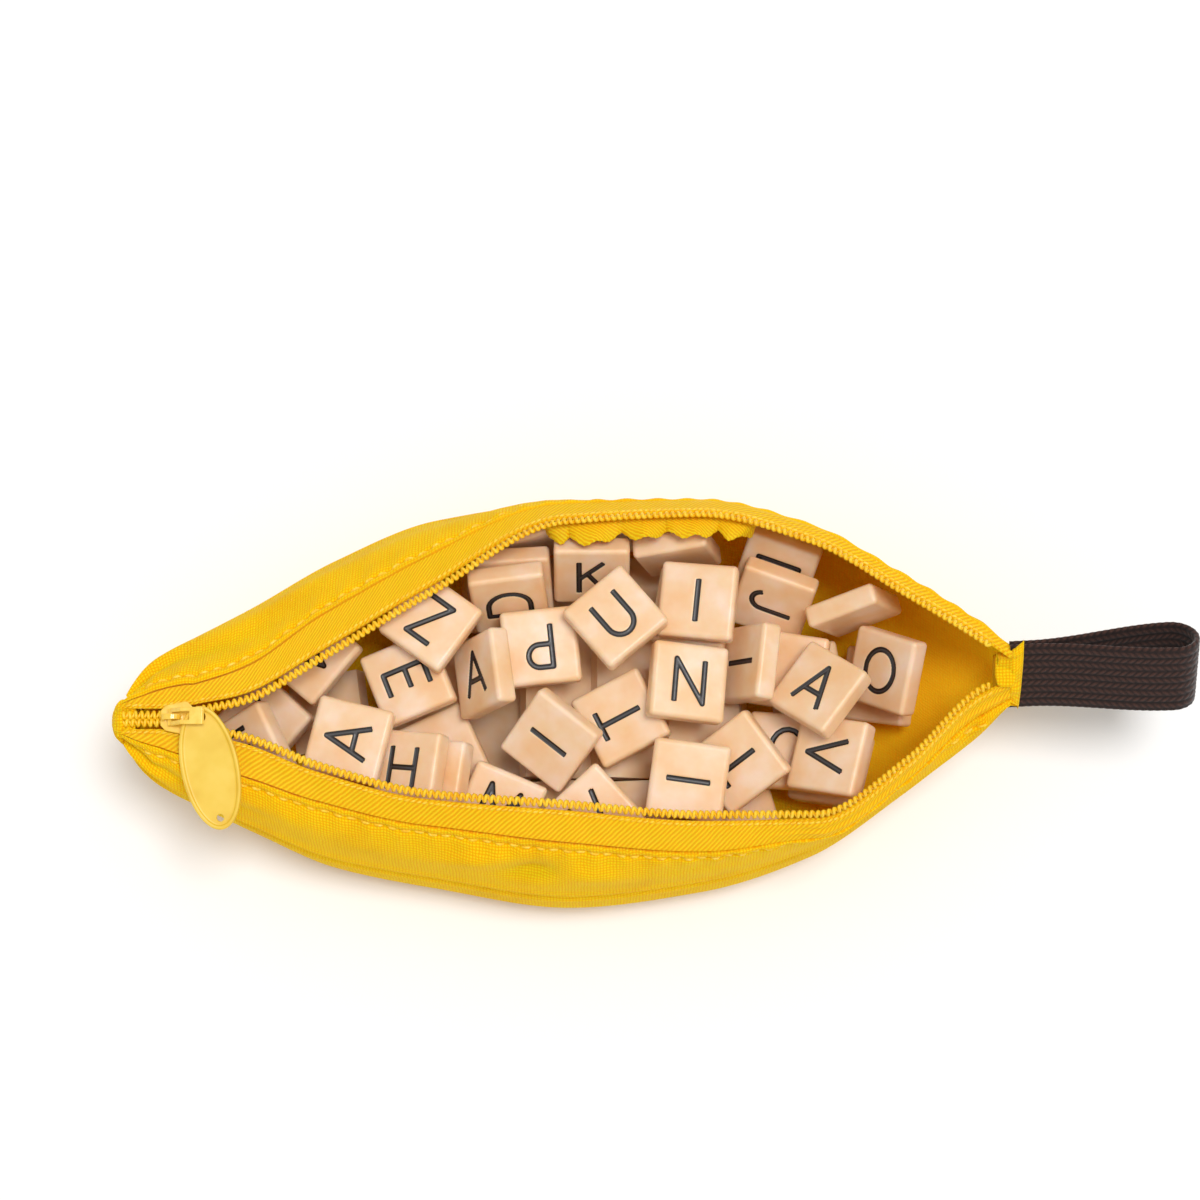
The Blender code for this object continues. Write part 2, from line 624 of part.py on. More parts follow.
def end_ring(x, sides):
    """The outer edge of the pouch's open end, as points at even steps round it."""
    around = np.linspace(0, LAST_KEY, 200)[:, None]
    ring = surface(np.array([x]), around)[:, 0]
    closed = np.vstack([ring, ring[:1]])
    run = np.concatenate([[0], np.cumsum(np.linalg.norm(np.diff(closed, axis=0), axis=1))])
    places = np.linspace(0, run[-1], sides, endpoint=False)
    return np.stack([np.interp(places, run, closed[:, axis]) for axis in range(3)], axis=-1)


def tip_seam(name, end, way, width, thickness, lean):
    """The bundle of seam allowances that closes one tip: a loft from the shape of the
    pouch's end to a slot that leans with the strap."""
    sides = ROUND_SIDES
    ring = end_ring(end, sides)
    centre = ring.mean(axis=0)
    offsets = ring - centre
    along_slot = np.array([0, cos(lean), sin(lean)])
    over_slot = np.array([0, -sin(lean), cos(lean)])
    angles = np.arctan2(offsets @ over_slot, offsets @ along_slot)
    flat = (width - thickness) / 2
    slot = (np.sign(np.cos(angles)) * flat * np.minimum(1, 3 * np.abs(np.cos(angles)))
            + thickness / 2 * np.cos(angles))[:, None] * along_slot
    slot = slot + (thickness / 2 * np.sin(angles))[:, None] * over_slot
    start = end + way * SEAM_GAP
    levels = []
    for share in (0.0, .5, 1.0):
        swell = share * share
        layer = centre + offsets * (1 - swell) * (1 - .06 * share) + slot * swell
        layer[:, 0] = start + way * share * TIP_SEAM_LENGTH
        levels.append(layer)
    points = np.concatenate(levels)
    faces = []
    for level in range(len(levels) - 1):
        for side in range(sides):
            a, b = level * sides + side, level * sides + (side + 1) % sides
            faces.append((a, b, b + sides, a + sides))
    faces.append(tuple(range(sides)))
    faces.append(tuple(range((len(levels) - 1) * sides, len(levels) * sides)))
    mesh = mesh_from(name, points, faces)
    bmesh_triangulate(mesh)
    close_outward(mesh)
    add_mesh(name, mesh, YELLOW_CANVAS, .85)
    return Vector((start + way * TIP_SEAM_LENGTH, centre[1], centre[2]))


def bmesh_triangulate(mesh):
    work = bmesh.new()
    work.from_mesh(mesh)
    bmesh.ops.triangulate(work, faces=work.faces)
    work.to_mesh(mesh)
    work.free()


def strap_loop(tip):
    """Webbing folded into a loop whose two ends are sewn together at a round nose.

    The outline is the loop seen on edge: the plies part smoothly from the nose and join
    in a round turn, and the webbing's width is the plate's thickness.
    """
    half_cloth = WEBBING_THICKNESS / 2
    nose = WEBBING_THICKNESS
    turn_centre = STRAP_LENGTH - LOOP_RADIUS
    places = np.linspace(0, 1, 12)
    rise = places * places * (3 - 2 * places)
    upper = np.stack([places * turn_centre, half_cloth + (LOOP_RADIUS - half_cloth) * rise], axis=-1)
    angles = np.linspace(pi / 2, -pi / 2, 13)[1:-1]
    turn = np.stack([turn_centre + LOOP_RADIUS * np.cos(angles), LOOP_RADIUS * np.sin(angles)], axis=-1)
    middle = np.concatenate([upper, turn, upper[::-1] * (1, -1)])
    ahead = np.gradient(middle, axis=0)
    side = np.stack([-ahead[:, 1], ahead[:, 0]], axis=-1)
    side /= np.linalg.norm(side, axis=1, keepdims=True)
    side[0], side[-1] = (0, 1), (0, -1)
    outer = middle + side * half_cloth
    nose_angles = np.linspace(-pi / 2, -3 * pi / 2, 9)[1:-1]
    nose_arc = np.stack([nose * np.cos(nose_angles), nose * np.sin(nose_angles)], axis=-1)
    inner = middle - side * half_cloth
    inner = inner[(inner[:, 0] > SEWN_LENGTH)]
    outline = np.concatenate([outer, nose_arc])
    mesh = plate_mesh("strap_loop", [outline, inner], WEBBING_WIDTH)
    away = Vector((cos(STRAP_DRIFT), sin(STRAP_DRIFT), 0))
    width = Vector((0, cos(STRAP_LEAN), sin(STRAP_LEAN)))
    width = (width - away * width.dot(away)).normalized()
    over = width.cross(away)
    frame = Matrix((away, -over, width)).transposed().to_4x4()
    axis = tip + away * (nose + RUNNING_GAP + abs(width.x) * WEBBING_WIDTH / 2)
    piece = add_mesh("strap_loop", mesh, BROWN_WEBBING, .9)
    piece.matrix_world = Matrix.Translation(axis) @ frame
    return piece


SIGNS = np.array([(a, b, c) for a in (-1, 1) for b in (-1, 1) for c in (-1, 1)], float)


def inner_points():
    """Points on the pouch's inner face, and on the teeth, with normals that look inward."""
    around = np.broadcast_to(np.linspace(0, LAST_KEY, 67)[:, None], (67, 2 * COLUMNS))
    x = np.linspace(LEFT_END, RIGHT_END, 2 * COLUMNS)
    normals = outward(x, around)
    points = surface(x, around) - CLOTH * normals
    for side, rim_row in ((1, points[0]), (-1, points[-1])):
        for step in (1, 2, 3):
            teeth = rim_row - (0, side * step * CHAIN_HALF_WIDTH / 2, CHAIN_THICKNESS / 2)
            points = np.concatenate([points, teeth[None]])
            normals = np.concatenate([normals, np.broadcast_to((0, 0, 1.0), (1, len(x), 3))])
    return points.reshape(-1, 3), -normals.reshape(-1, 3)


def overlap_ways(centres, turns, halves, first, second):
    """How deep pairs of turned boxes overlap, and the way to part them.

    Each pair is tried along its fifteen separating directions. The depth is that of the
    shallowest, less than zero where the boxes are clear of each other.
    """
    a, b = turns[first], turns[second]
    crosses = np.cross(a[:, :, None, :], b[:, None, :, :]).reshape(len(first), 9, 3)
    ways = np.concatenate([a, b, crosses], axis=1)
    sizes = np.linalg.norm(ways, axis=2, keepdims=True)
    useful = sizes[..., 0] > 1e-3
    ways = ways / np.maximum(sizes, 1e-9)
    reach_a = (np.abs(np.einsum("pwi,pki->pwk", ways, a)) * halves[first][:, None, :]).sum(2)
    reach_b = (np.abs(np.einsum("pwi,pki->pwk", ways, b)) * halves[second][:, None, :]).sum(2)
    apart = np.einsum("pwi,pi->pw", ways, centres[first] - centres[second])
    depth = np.where(useful, reach_a + reach_b - np.abs(apart), np.inf)
    best = depth.argmin(axis=1)
    rows = np.arange(len(first))
    sign = np.where(apart[rows, best] < 0, -1.0, 1.0)
    return depth[rows, best], ways[rows, best] * sign[:, None]


def part_tiles(centres, turns, halves, fixed):
    """Ease tiles off each other and off the cloth until they all lie clear."""
    count = len(centres)
    first, second = np.triu_indices(count, 1)
    keep = second >= fixed
    first, second = first[keep], second[keep]
    weight = np.where(first < fixed, 0.0, .5)[:, None]
    wall, inward = inner_points()
    home = centres.copy()
    for turn in range(EASING_TURNS):
        reach = np.linalg.norm(halves[first], axis=1) + np.linalg.norm(halves[second], axis=1)
        near = np.linalg.norm(centres[first] - centres[second], axis=1) < reach
        one, two, share = first[near], second[near], weight[near]
        depth, ways = overlap_ways(centres, turns, halves, one, two)
        push = np.clip(depth + TILE_GAP, 0, None)[:, None] * ways
        moves = np.zeros_like(centres)
        np.add.at(moves, one, push * share)
        np.add.at(moves, two, -push * (1 - share))
        worst = depth.max()
        for index in range(fixed, count):
            corners = (SIGNS * halves[index]) @ turns[index] + centres[index]
            close = np.linalg.norm(wall - centres[index], axis=1) < TILE_SIDE
            if not close.any():
                continue
            points, normals = wall[close], inward[close]
            gaps = np.linalg.norm(corners[:, None] - points[None], axis=2)
            nearest = gaps.argmin(axis=1)
            clearance = ((corners - points[nearest]) * normals[nearest]).sum(axis=1)
            short = np.clip(WALL_GAP - clearance, 0, None)
            worst = max(worst, short.max() - TILE_GAP)
            moves[index] += (short[:, None] * normals[nearest])[short.argmax()]
            local = (points - centres[index]) @ turns[index].T
            inside = halves[index] + WALL_GAP - np.abs(local)
            held = inside.min(axis=1)
            deepest = held.argmax()
            if held[deepest] > 0:
                axis = inside[deepest].argmin()
                way = -np.sign(local[deepest, axis]) * turns[index][axis]
                moves[index] += way * held[deepest]
                worst = max(worst, held[deepest] - TILE_GAP)
        high = (np.abs(turns[..., 2]) * halves).sum(axis=1) + centres[:, 2] - CEILING_SHARE * RIM_HEIGHT
        moves[:, 2] -= np.clip(high, 0, None)
        pull = np.array(HOMING) * max(0, 1 - 1.6 * turn / EASING_TURNS)
        centres[fixed:] += moves[fixed:] * EASING + (home[fixed:] - centres[fixed:]) * pull
        if worst < -TILE_GAP * .6:
            break
    print("tiles eased in", turn, "steps")
    return centres


def hidden_row(name, x_share, y_share, count, wide, turn, lying):
    """Tiles leaning on each other like fallen dominoes, joined into one body.

    Each lies at the angle at which its face meets the next one's back, so the row's
    outline is a saw on top and below, carried across the width of the row.
    """
    angle = asin((TILE_THICKNESS - ROW_BITE) / ROW_PITCH)
    e = np.array([cos(angle), sin(angle)])
    f = np.array([-sin(angle), cos(angle)])
    centres = [np.array([(k - (count - 1) / 2) * ROW_PITCH, 0]) for k in range(count)]
    side, thick, bite = TILE_SIDE / 2, TILE_THICKNESS / 2, TILE_THICKNESS - ROW_BITE
    width = wide * (TILE_SIDE + TILE_GAP) - TILE_GAP
    top, bottom = [centres[0] - side * e + thick * f], []
    for k, c in enumerate(centres):
        top.append(c + side * e + thick * f)
        top.append(c + side * e + (thick - bite if k < count - 1 else -thick) * f)
    for k in reversed(range(count)):
        bottom.append(centres[k] - side * e - thick * f)
        if k:
            bottom.append(centres[k] - side * e - (thick - bite) * f)
    mesh = plate_mesh(name, [top + bottom], width)
    spin = Matrix.Rotation(radians(turn), 4, "Z")
    stand = Matrix.Rotation(pi / 2, 4, "X")
    moved(mesh, Matrix.Translation((x_share * HALF_LENGTH, y_share * HALF_WIDTH, 0)) @ spin @ stand)
    lean = np.array(Matrix.Rotation(-angle, 3, "Y"))
    swing = np.array(spin.to_3x3())
    half = np.array([side, width / 2, thick])
    middles = [swing @ np.array([c[0], 0, c[1]]) for c in centres]
    middles = np.array(middles) + (x_share * HALF_LENGTH, y_share * HALF_WIDTH, 0)
    turned = (swing @ lean).T
    points = np.array([vertex.co for vertex in mesh.vertices])
    ahead = points[:, 0]
    lift = (floor_heights(points) - points[:, 2]).max() + 1.5 * WALL_GAP
    for low, high, y_low, y_high, height in lying:
        if low < ahead.max() and ahead.min() < high and y_low < points[:, 1].max() and points[:, 1].min() < y_high:
            lift = max(lift, height + TILE_GAP - points[:, 2].min())
    lying.append((ahead.min(), ahead.max(), points[:, 1].min(), points[:, 1].max(), points[:, 2].max() + lift))
    moved(mesh, Matrix.Translation((0, 0, lift)))
    add_mesh(name, mesh, PEACH_PLASTIC, .35)
    return [(middle + (0, 0, lift), turned, half) for middle in middles]


def floor_heights(spots):
    """Height of the pouch's inner floor under each spot."""
    around = np.linspace(LAST_KEY / 2 - 1.5, LAST_KEY / 2 + 1.5, 60)[:, None]
    x = np.clip(spots[:, 0], LEFT_END, RIGHT_END)
    around = np.broadcast_to(around, (60, len(x)))
    inner = surface(x, around) - CLOTH * outward(x, around)
    heights = []
    for column, y in enumerate(spots[:, 1]):
        ys, zs = inner[::-1, column, 1], inner[::-1, column, 2]
        heights.append(np.interp(y, ys, zs))
    return np.array(heights)


def tile_heap():
    lying = []
    boxes = []
    for number, row in enumerate(ROW_SHARES_AND_TURNS, 1):
        boxes += hidden_row(f"hidden_tile_row_{number}", *row, lying)
    fixed = len(boxes)
    half = np.array([TILE_SIDE, TILE_SIDE, TILE_THICKNESS]) / 2
    for x_share, y_share, z_share, heading, tilt, lean in TILE_SHARES_AND_TURNS:
        heading, tilt, lean = radians(heading) - pi / 2, radians(tilt), radians(lean)
        turned = (Matrix.Rotation(lean, 3, "Z") @ Matrix.Rotation(tilt, 3, "Y")
                  @ Matrix.Rotation(heading - lean, 3, "Z"))
        turn = np.array(turned).T
        face = np.array([x_share * HALF_LENGTH, y_share * HALF_WIDTH, z_share * RIM_HEIGHT])
        boxes.append((face - turn[2] * TILE_THICKNESS / 2, turn, half))
    centres = np.array([box[0] for box in boxes])
    turns = np.array([box[1] for box in boxes])
    halves = np.array([box[2] for box in boxes])
    centres = part_tiles(centres, turns, halves, fixed)
    for number, index in enumerate(range(fixed, len(boxes)), 1):
        name = f"letter_tile_{number:02d}"
        work = bmesh.new()
        bmesh.ops.create_cube(work, size=1)
        size = Matrix.Diagonal((TILE_SIDE, TILE_SIDE, TILE_THICKNESS, 1))
        bmesh.ops.transform(work, matrix=size, verts=work.verts)
        bmesh.ops.bevel(work, geom=list(work.edges), offset=TILE_EDGE, segments=1, affect="EDGES")
        mesh = bpy.data.meshes.new(name)
        work.to_mesh(mesh)
        work.free()
        piece = add_mesh(name, mesh, PEACH_PLASTIC, .35)
        turned = Matrix([tuple(row) for row in turns[index]]).transposed().to_4x4()
        piece.matrix_world = Matrix.Translation(centres[index]) @ turned


def build():
    sewn_panels()
    zip_teeth("back_zip_teeth", 1)
    zip_teeth("front_zip_teeth", -1)
    plate_top = slider_body()
    peg_top = pull_link(plate_top)
    pull_tab(peg_top)
    tip_seam("left_tip_seam", LEFT_END, -1, TIP_SEAM_THICKNESS * 1.8, TIP_SEAM_THICKNESS, 0)
    tip = tip_seam("right_tip_seam", RIGHT_END, 1, WEBBING_WIDTH, TIP_SEAM_THICKNESS, STRAP_LEAN)
    strap_loop(tip)
    tile_heap()


build()
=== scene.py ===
# %% [markdown]
# # A banana-shaped zip pouch full of letter tiles
#
# The object is a soft canvas pouch that lies on its base with its mouth open. A zip
# runs round the mouth, a pull tab hangs from the slider at the left and a webbing loop
# is sewn into the right tip. Inside lies a heap of small moulded letter tiles.
#
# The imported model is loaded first, as a fixed frame. Every new piece is a surface that
# is worked out with numpy from the same sizes as that frame, so it needs no fitting.

import json
from math import cos
from math import pi
from math import radians
from math import sin

import bpy
import numpy as np
from mathutils import Matrix
from mathutils import Vector


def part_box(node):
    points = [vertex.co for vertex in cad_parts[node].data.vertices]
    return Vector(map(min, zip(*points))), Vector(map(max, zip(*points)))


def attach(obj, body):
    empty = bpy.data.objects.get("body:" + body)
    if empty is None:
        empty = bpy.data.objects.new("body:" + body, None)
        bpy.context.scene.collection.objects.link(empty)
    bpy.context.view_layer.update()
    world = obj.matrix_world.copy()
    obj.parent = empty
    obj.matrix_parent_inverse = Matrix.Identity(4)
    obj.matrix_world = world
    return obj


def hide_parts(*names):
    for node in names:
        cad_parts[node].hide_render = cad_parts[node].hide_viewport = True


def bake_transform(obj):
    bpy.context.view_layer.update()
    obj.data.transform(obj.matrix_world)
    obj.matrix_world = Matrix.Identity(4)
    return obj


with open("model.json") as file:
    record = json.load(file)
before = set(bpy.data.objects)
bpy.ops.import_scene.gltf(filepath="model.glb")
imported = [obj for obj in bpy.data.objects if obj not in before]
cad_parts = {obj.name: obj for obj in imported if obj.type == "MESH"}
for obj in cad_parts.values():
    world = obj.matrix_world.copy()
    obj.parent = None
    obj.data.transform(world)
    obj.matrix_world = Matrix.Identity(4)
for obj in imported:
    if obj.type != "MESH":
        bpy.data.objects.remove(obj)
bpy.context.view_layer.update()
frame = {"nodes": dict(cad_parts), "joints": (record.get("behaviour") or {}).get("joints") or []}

# %% [markdown]
# ## The camera
#
# The photograph is taken from almost straight above, 11 degrees off the vertical and
# toward the front, with a long lens, so the tiles in the middle show no perspective to
# speak of. A camera that looks along -Z needs only one turn, about X.

# %% The camera
def in_scene(name, data):
    """A new object that holds the data, linked to the scene."""
    thing = bpy.data.objects.new(name, data)
    bpy.context.scene.collection.objects.link(thing)
    return thing


VIEW_TARGET = Vector((.008, .022, .046))
VIEW_DISTANCE = .700
VIEW_ELEVATION = radians(79)
LENS = 85
FILM_WIDTH = 36

camera = in_scene("camera", bpy.data.cameras.new("camera"))
camera.data.lens = LENS
camera.data.sensor_width = FILM_WIDTH
back = Vector((0, -cos(VIEW_ELEVATION), sin(VIEW_ELEVATION)))
camera.location = VIEW_TARGET + VIEW_DISTANCE * back
camera.rotation_euler = (pi / 2 - VIEW_ELEVATION, 0, 0)
bpy.context.scene.camera = camera
print("camera at", tuple(round(place, 3) for place in camera.location))

# %% [markdown]
# ## Colours and nodes
#
# Colours are written as sRGB hex, as a paint chart gives them, and one function turns
# them to the linear values that Blender works in. One small function adds a node, sets
# its properties and links or sets its sockets, and it serves every material below. Most
# real surfaces are a little uneven, so a last helper gives a material a noise of a real
# size, which shades its colour, raises a fine grain, or both.

# %% Helpers for materials
MM = .001


def linear(hex_colour):
    """Linear RGBA of an sRGB hex: each channel c is ((c + .055) / 1.055) ** 2.4."""
    channels = [int(hex_colour[at:at + 2], 16) / 255 for at in (1, 3, 5)]
    return (*[((channel + .055) / 1.055) ** 2.4 for channel in channels], 1)


def set_sockets(node, sockets):
    """Give each socket a number, a colour or a link. A node means its first output."""
    for socket, value in dict(sockets).items():
        if isinstance(value, bpy.types.Node):
            value = value.outputs[0]
        if isinstance(value, bpy.types.NodeSocket):
            node.id_data.links.new(value, node.inputs[socket])
        else:
            node.inputs[socket].default_value = value


def add_node(owner, kind, sockets=(), stops=(), **settings):
    """Add one shader node to a material or world, with its settings and sockets.

    The stops of a colour ramp are places with their sRGB colours.
    """
    node = owner.node_tree.nodes.new("ShaderNode" + kind)
    for at, (place, hex_colour) in enumerate(stops):
        elements = node.color_ramp.elements
        element = elements[at] if at < 2 else elements.new(place)
        element.position = place
        element.color = linear(hex_colour)
    for name, value in settings.items():
        setattr(node, name, value)
    set_sockets(node, sockets)
    return node


def finish(material, sockets):
    """Set sockets of a material's Principled shader."""
    set_sockets(material.node_tree.nodes["Principled BSDF"], sockets)


def new_material(name, colour, roughness, sockets=()):
    """A Principled material with its constant values set straight on the shader."""
    material = bpy.data.materials.new(name)
    material.use_nodes = True
    finish(material, {"Base Color": linear(colour), "Roughness": roughness, **dict(sockets)})
    return material


def mottle(material, size, detail=2, stops=(), strength=0, depth=0):
    """Give a material a noise of a size: colours by its value, a raised grain or both."""
    noise = add_node(material, "TexNoise", {
        "Vector": add_node(material, "TexCoord").outputs["Object"],
        "Scale": 1 / size, "Detail": detail})
    if stops:
        finish(material, {"Base Color": add_node(material, "ValToRGB", {"Fac": noise}, stops)})
    if strength:
        finish(material, {"Normal": add_node(material, "Bump", {
            "Height": noise, "Strength": strength, "Distance": depth})})
    return noise


print("yellow of the canvas in linear values:", linear("#FEC402")[:3])

# %% [markdown]
# ## Floor and light
#
# The pouch lies on white paper in a bright room. The floor is a plain white sheet that
# keeps the pouch's shadow. The light is one broad, soft sun from nearly overhead, a
# little to the right, and an even sky, so the shadow is faint and close. Together they
# light a level white surface to a little over 1, as bright as the photographed paper.
# The far background is plain white for the camera and in reflections, through the Light
# Path node, and lights nothing.

# %% The floor
FLOOR_HALF = 2.5
paper = new_material("white_backdrop_paper", "#FBFBFB", .9)
mottle(paper, 3 * MM, 3, strength=.1, depth=.05 * MM)

floor_mesh = bpy.data.meshes.new("floor")
floor_corners = [(x * FLOOR_HALF, y * FLOOR_HALF, 0)
                 for x, y in ((-1, -1), (1, -1), (1, 1), (-1, 1))]
floor_mesh.from_pydata(floor_corners, [], [(0, 1, 2, 3)])
floor_mesh.materials.append(paper)
floor = in_scene("floor", floor_mesh)

# %% The light
SUN_STRENGTH = 1.80
SUN_ANGLE = radians(22)
SKY_STRENGTH = .56

sun = in_scene("window_light", bpy.data.lights.new("window_light", "SUN"))
sun.data.energy = SUN_STRENGTH
sun.data.angle = SUN_ANGLE
sun_way = Vector((.20, .05, 1.0)).normalized()
sun.rotation_euler = sun_way.to_track_quat("Z", "Y").to_euler()

sky = bpy.data.worlds.new("white_room")
bpy.context.scene.world = sky
sky.use_nodes = True
room = sky.node_tree.nodes["Background"]
set_sockets(room, {"Color": linear("#FDFCFA"), "Strength": SKY_STRENGTH})
seen = add_node(sky, "Background", {"Color": (1, 1, 1, 1), "Strength": 1})
path = add_node(sky, "LightPath").outputs
straight = add_node(sky, "Math", {
    0: path["Is Camera Ray"], 1: path["Is Glossy Ray"]}, operation="MAXIMUM")
showing = add_node(sky, "Math", {
    0: straight, 1: path["Is Transmission Ray"]}, operation="MAXIMUM")
chosen = add_node(sky, "MixShader", {0: showing, 1: room, 2: seen})
set_sockets(sky.node_tree.nodes["World Output"], {"Surface": chosen})
bpy.context.scene.view_settings.view_transform = "Standard"
print("level white renders at about",
      round(SUN_STRENGTH * sun_way.z / pi + SKY_STRENGTH, 2))

# %% [markdown]
# ## The pouch's form
#
# The pouch is a bag of three sewn panels, and its form is a loft: at each place along
# it a section is drawn through twelve key points, from the back edge of the mouth,
# down the back, under the base and up to the front edge. The sizes and shares are the
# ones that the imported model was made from, so cloth made here lies on its solids.

# %% Sizes and shares of the pouch
# In metres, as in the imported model
HALF_LENGTH = 0.112
HALF_WIDTH = 0.053
RIM_HEIGHT = 0.050
CLOTH = 0.0012
TAPE_THICKNESS = 0.0008
TAPE_WIDTH = 0.0095
SEAM_GAP = 0.0003
TIP_SEAM_LENGTH = 0.0024
TIP_SEAM_THICKNESS = 0.0052
TOOTH_PITCH = 0.0015
CHAIN_HALF_WIDTH = 0.00225
TOOTH_OVERLAP = 0.00025
CHAIN_THICKNESS = 0.0016
CLOSED_CHAIN = 0.0076
SLIDER_LENGTH = 0.0076
DIVIDER_WIDTH = 0.0008
DIVIDER_LENGTH = 0.0016
DIVIDER_INSET = 0.0004
RUNNING_GAP = 0.0003
TAB_LENGTH = 0.0305
TAB_WIDTH = 0.0141
TAB_HOLE_INSET = 0.0026
TAB_HOLE_RADIUS = 0.0015
WEBBING_WIDTH = 0.0185
WEBBING_THICKNESS = 0.0016
STRAP_LENGTH = 0.0435
LOOP_RADIUS = 0.0058
STRAP_LEAN = radians(43)
STRAP_DRIFT = radians(3)
TILE_SIDE = 0.0190
TILE_THICKNESS = 0.0055

# Places along the pouch, from the left tip to the right one, as shares of HALF_LENGTH.
# The tables below hold the back edge's shares under 1 and the front edge's under -1.
STATION_SHARES = (-.972, -.93, -.87, -.82, -.70, -.53, -.30, .0, .30, .55, .75, .91, .975)
BASE_SHARES = (.77, .67, .52, .42, .22, .068, .0, .0, .0, .084, .28, .56, .70)
BELLY_SHARES = {
    1: (-.015, .10, .21, .283, .458, .70, .915, 1., .962, .84, .594, .34, .21),
    -1: (-.287, -.37, -.46, -.51, -.626, -.774, -.87, -.962, -.887, -.72, -.445, -.19, -.075)}
RIM_SHARES = {
    1: (.986, .986, .986, .986, .966, .94, .926, .92, .926, .94, .964, .99, .995),
    -1: (.986, .986, .986, .986, .966, .94, .92, .91, .91, .91, .92, .92, .91)}
REACH_SHARES = {
    1: (.12, .32, .53, .54, .74, 1., .90, .50, .43, .47, .47, .40, .34),
    -1: (.12, .32, .52, .61, .85, .72, .64, .80, .76, .42, .37, .47, .38)}
DROP_SHARES = {
    1: (.0, .0, .0, .0, .12, .25, .35, .60, .70, .70, .60, .50, .40),
    -1: (.0, .0, .0, .0, .10, .30, .35, .30, .30, .50, .60, .50, .40)}

# How far each edge of the mouth stands off the zip line, along the open length
MOUTH_PLACE_SHARES = (0., .06, .15, .28, .45, .62, .76, .87, .96, 1.)
MOUTH_SHARES = {
    1: (0., .054, .255, .56, .90, .93, .795, .55, .33, .22),
    -1: (0., .044, .175, .30, .35, .40, .393, .14, -.18, -.25)}
ZIP_LINE_SHARE = -.154
CHAIN_START_SHARE = -.951
CHAIN_END_SHARE = .945

# Round the section: heights as shares of the wall, widths as shares of the half-width
UPPER_HEIGHT_SHARE = .80
SEAM_HEIGHT_SHARE = .52
LOWER_HEIGHT_SHARE = .27
UPPER_WIDTH_SHARE = .72
SEAM_WIDTH_SHARE = .965
UNDERSIDE_WIDTH_SHARE = .46
STITCH_KEY, SEAM_KEY = 1, 3
LAST_KEY = 11


# %% The loft
def monotone(knot_shade, values, places):
    """Smooth curve through the values that never swings past them.

    Each slope is the harmonic mean of the rises on its two sides, and zero at a turn.
    The values may be one row or a table with one column for each column of places.
    """
    knot_shade, values, places = (np.asarray(one, float) for one in (knot_shade, values, places))
    table_places = places if values.ndim > 1 else places.reshape(-1, 1)
    values = values.reshape(len(knot_shade), -1)
    steps = np.diff(knot_shade)[:, None]
    rises = np.diff(values, axis=0) / steps
    product = rises[:-1] * rises[1:]
    total = rises[:-1] + rises[1:]
    safe = np.where(product > 0, total, 1.0)
    inner = np.where(product > 0, 2 * product / safe, 0.0)
    slopes = np.vstack([rises[:1], inner, rises[-1:]])
    cell = np.clip(np.searchsorted(knot_shade, table_places, side="right") - 1, 0, len(knot_shade) - 2)
    columns = np.arange(values.shape[1])[None, :]
    width = steps[cell, 0]
    t = (table_places - knot_shade[cell]) / width
    start, end = values[cell, columns], values[cell + 1, columns]
    first, last = slopes[cell, columns] * width, slopes[cell + 1, columns] * width
    result = (start * (1 + 2 * t) * (1 - t) ** 2 + end * (3 - 2 * t) * t ** 2
              + first * t * (1 - t) ** 2 + last * (t - 1) * t ** 2)
    return result.reshape(places.shape)


def along(shares, x, size):
    """A size that changes along the pouch, read at x."""
    return monotone(np.array(STATION_SHARES) * HALF_LENGTH, np.array(shares) * size, x)


# Where the zip's parts stand along X
SLIDER_TAIL = CHAIN_START_SHARE * HALF_LENGTH + CLOSED_CHAIN
SLIDER_MOUTH = SLIDER_TAIL + SLIDER_LENGTH
DIVIDER_BACK = SLIDER_MOUTH - DIVIDER_INSET - DIVIDER_LENGTH
ZIP_LINE = ZIP_LINE_SHARE * HALF_WIDTH
TAPE_EDGE = CHAIN_HALF_WIDTH + SEAM_GAP
SPLIT = DIVIDER_WIDTH / 2 + RUNNING_GAP + TOOTH_OVERLAP
RIGHT_END = STATION_SHARES[-1] * HALF_LENGTH
LEFT_END = STATION_SHARES[0] * HALF_LENGTH


def rim(side, x):
    """Free edge of the zip tape: side is 1 at the back and -1 at the front."""
    x = np.asarray(x, float)
    place = np.clip((x - SLIDER_MOUTH) / (RIGHT_END - SLIDER_MOUTH), 0, 1)
    mouth = monotone(MOUTH_PLACE_SHARES, np.array(MOUTH_SHARES[side]) * HALF_WIDTH, place)
    split = np.interp(x, [SLIDER_TAIL, DIVIDER_BACK], [0, SPLIT])
    y = ZIP_LINE + side * (TAPE_EDGE + split + mouth)
    return y, along(RIM_SHARES[side], x, RIM_HEIGHT)


def section_keys(x):
    """The twelve key points round the section at each x, from the back rim to the front."""
    base = along(BASE_SHARES, x, RIM_HEIGHT)
    back_belly, front_belly = (along(BELLY_SHARES[side], x, HALF_WIDTH) for side in (1, -1))
    middle = (back_belly + front_belly) / 2
    half = (back_belly - front_belly) / 2
    halves = []
    for side in (1, -1):
        y, z = rim(side, x)
        stitch_y = y + side * along(REACH_SHARES[side], x, TAPE_WIDTH)
        stitch_z = z - along(DROP_SHARES[side], x, TAPE_WIDTH)
        wall = stitch_z - base
        seam_y = middle + side * half * SEAM_WIDTH_SHARE
        halves.append([
            (y, z),
            (stitch_y, stitch_z),
            (stitch_y + (seam_y - stitch_y) * UPPER_WIDTH_SHARE, base + wall * UPPER_HEIGHT_SHARE),
            (seam_y, base + wall * SEAM_HEIGHT_SHARE),
            (middle + side * half, base + wall * LOWER_HEIGHT_SHARE),
            (middle + side * half * UNDERSIDE_WIDTH_SHARE, base)])
    keys = np.array(halves[0] + halves[1][::-1])
    return keys[:, 0], keys[:, 1]


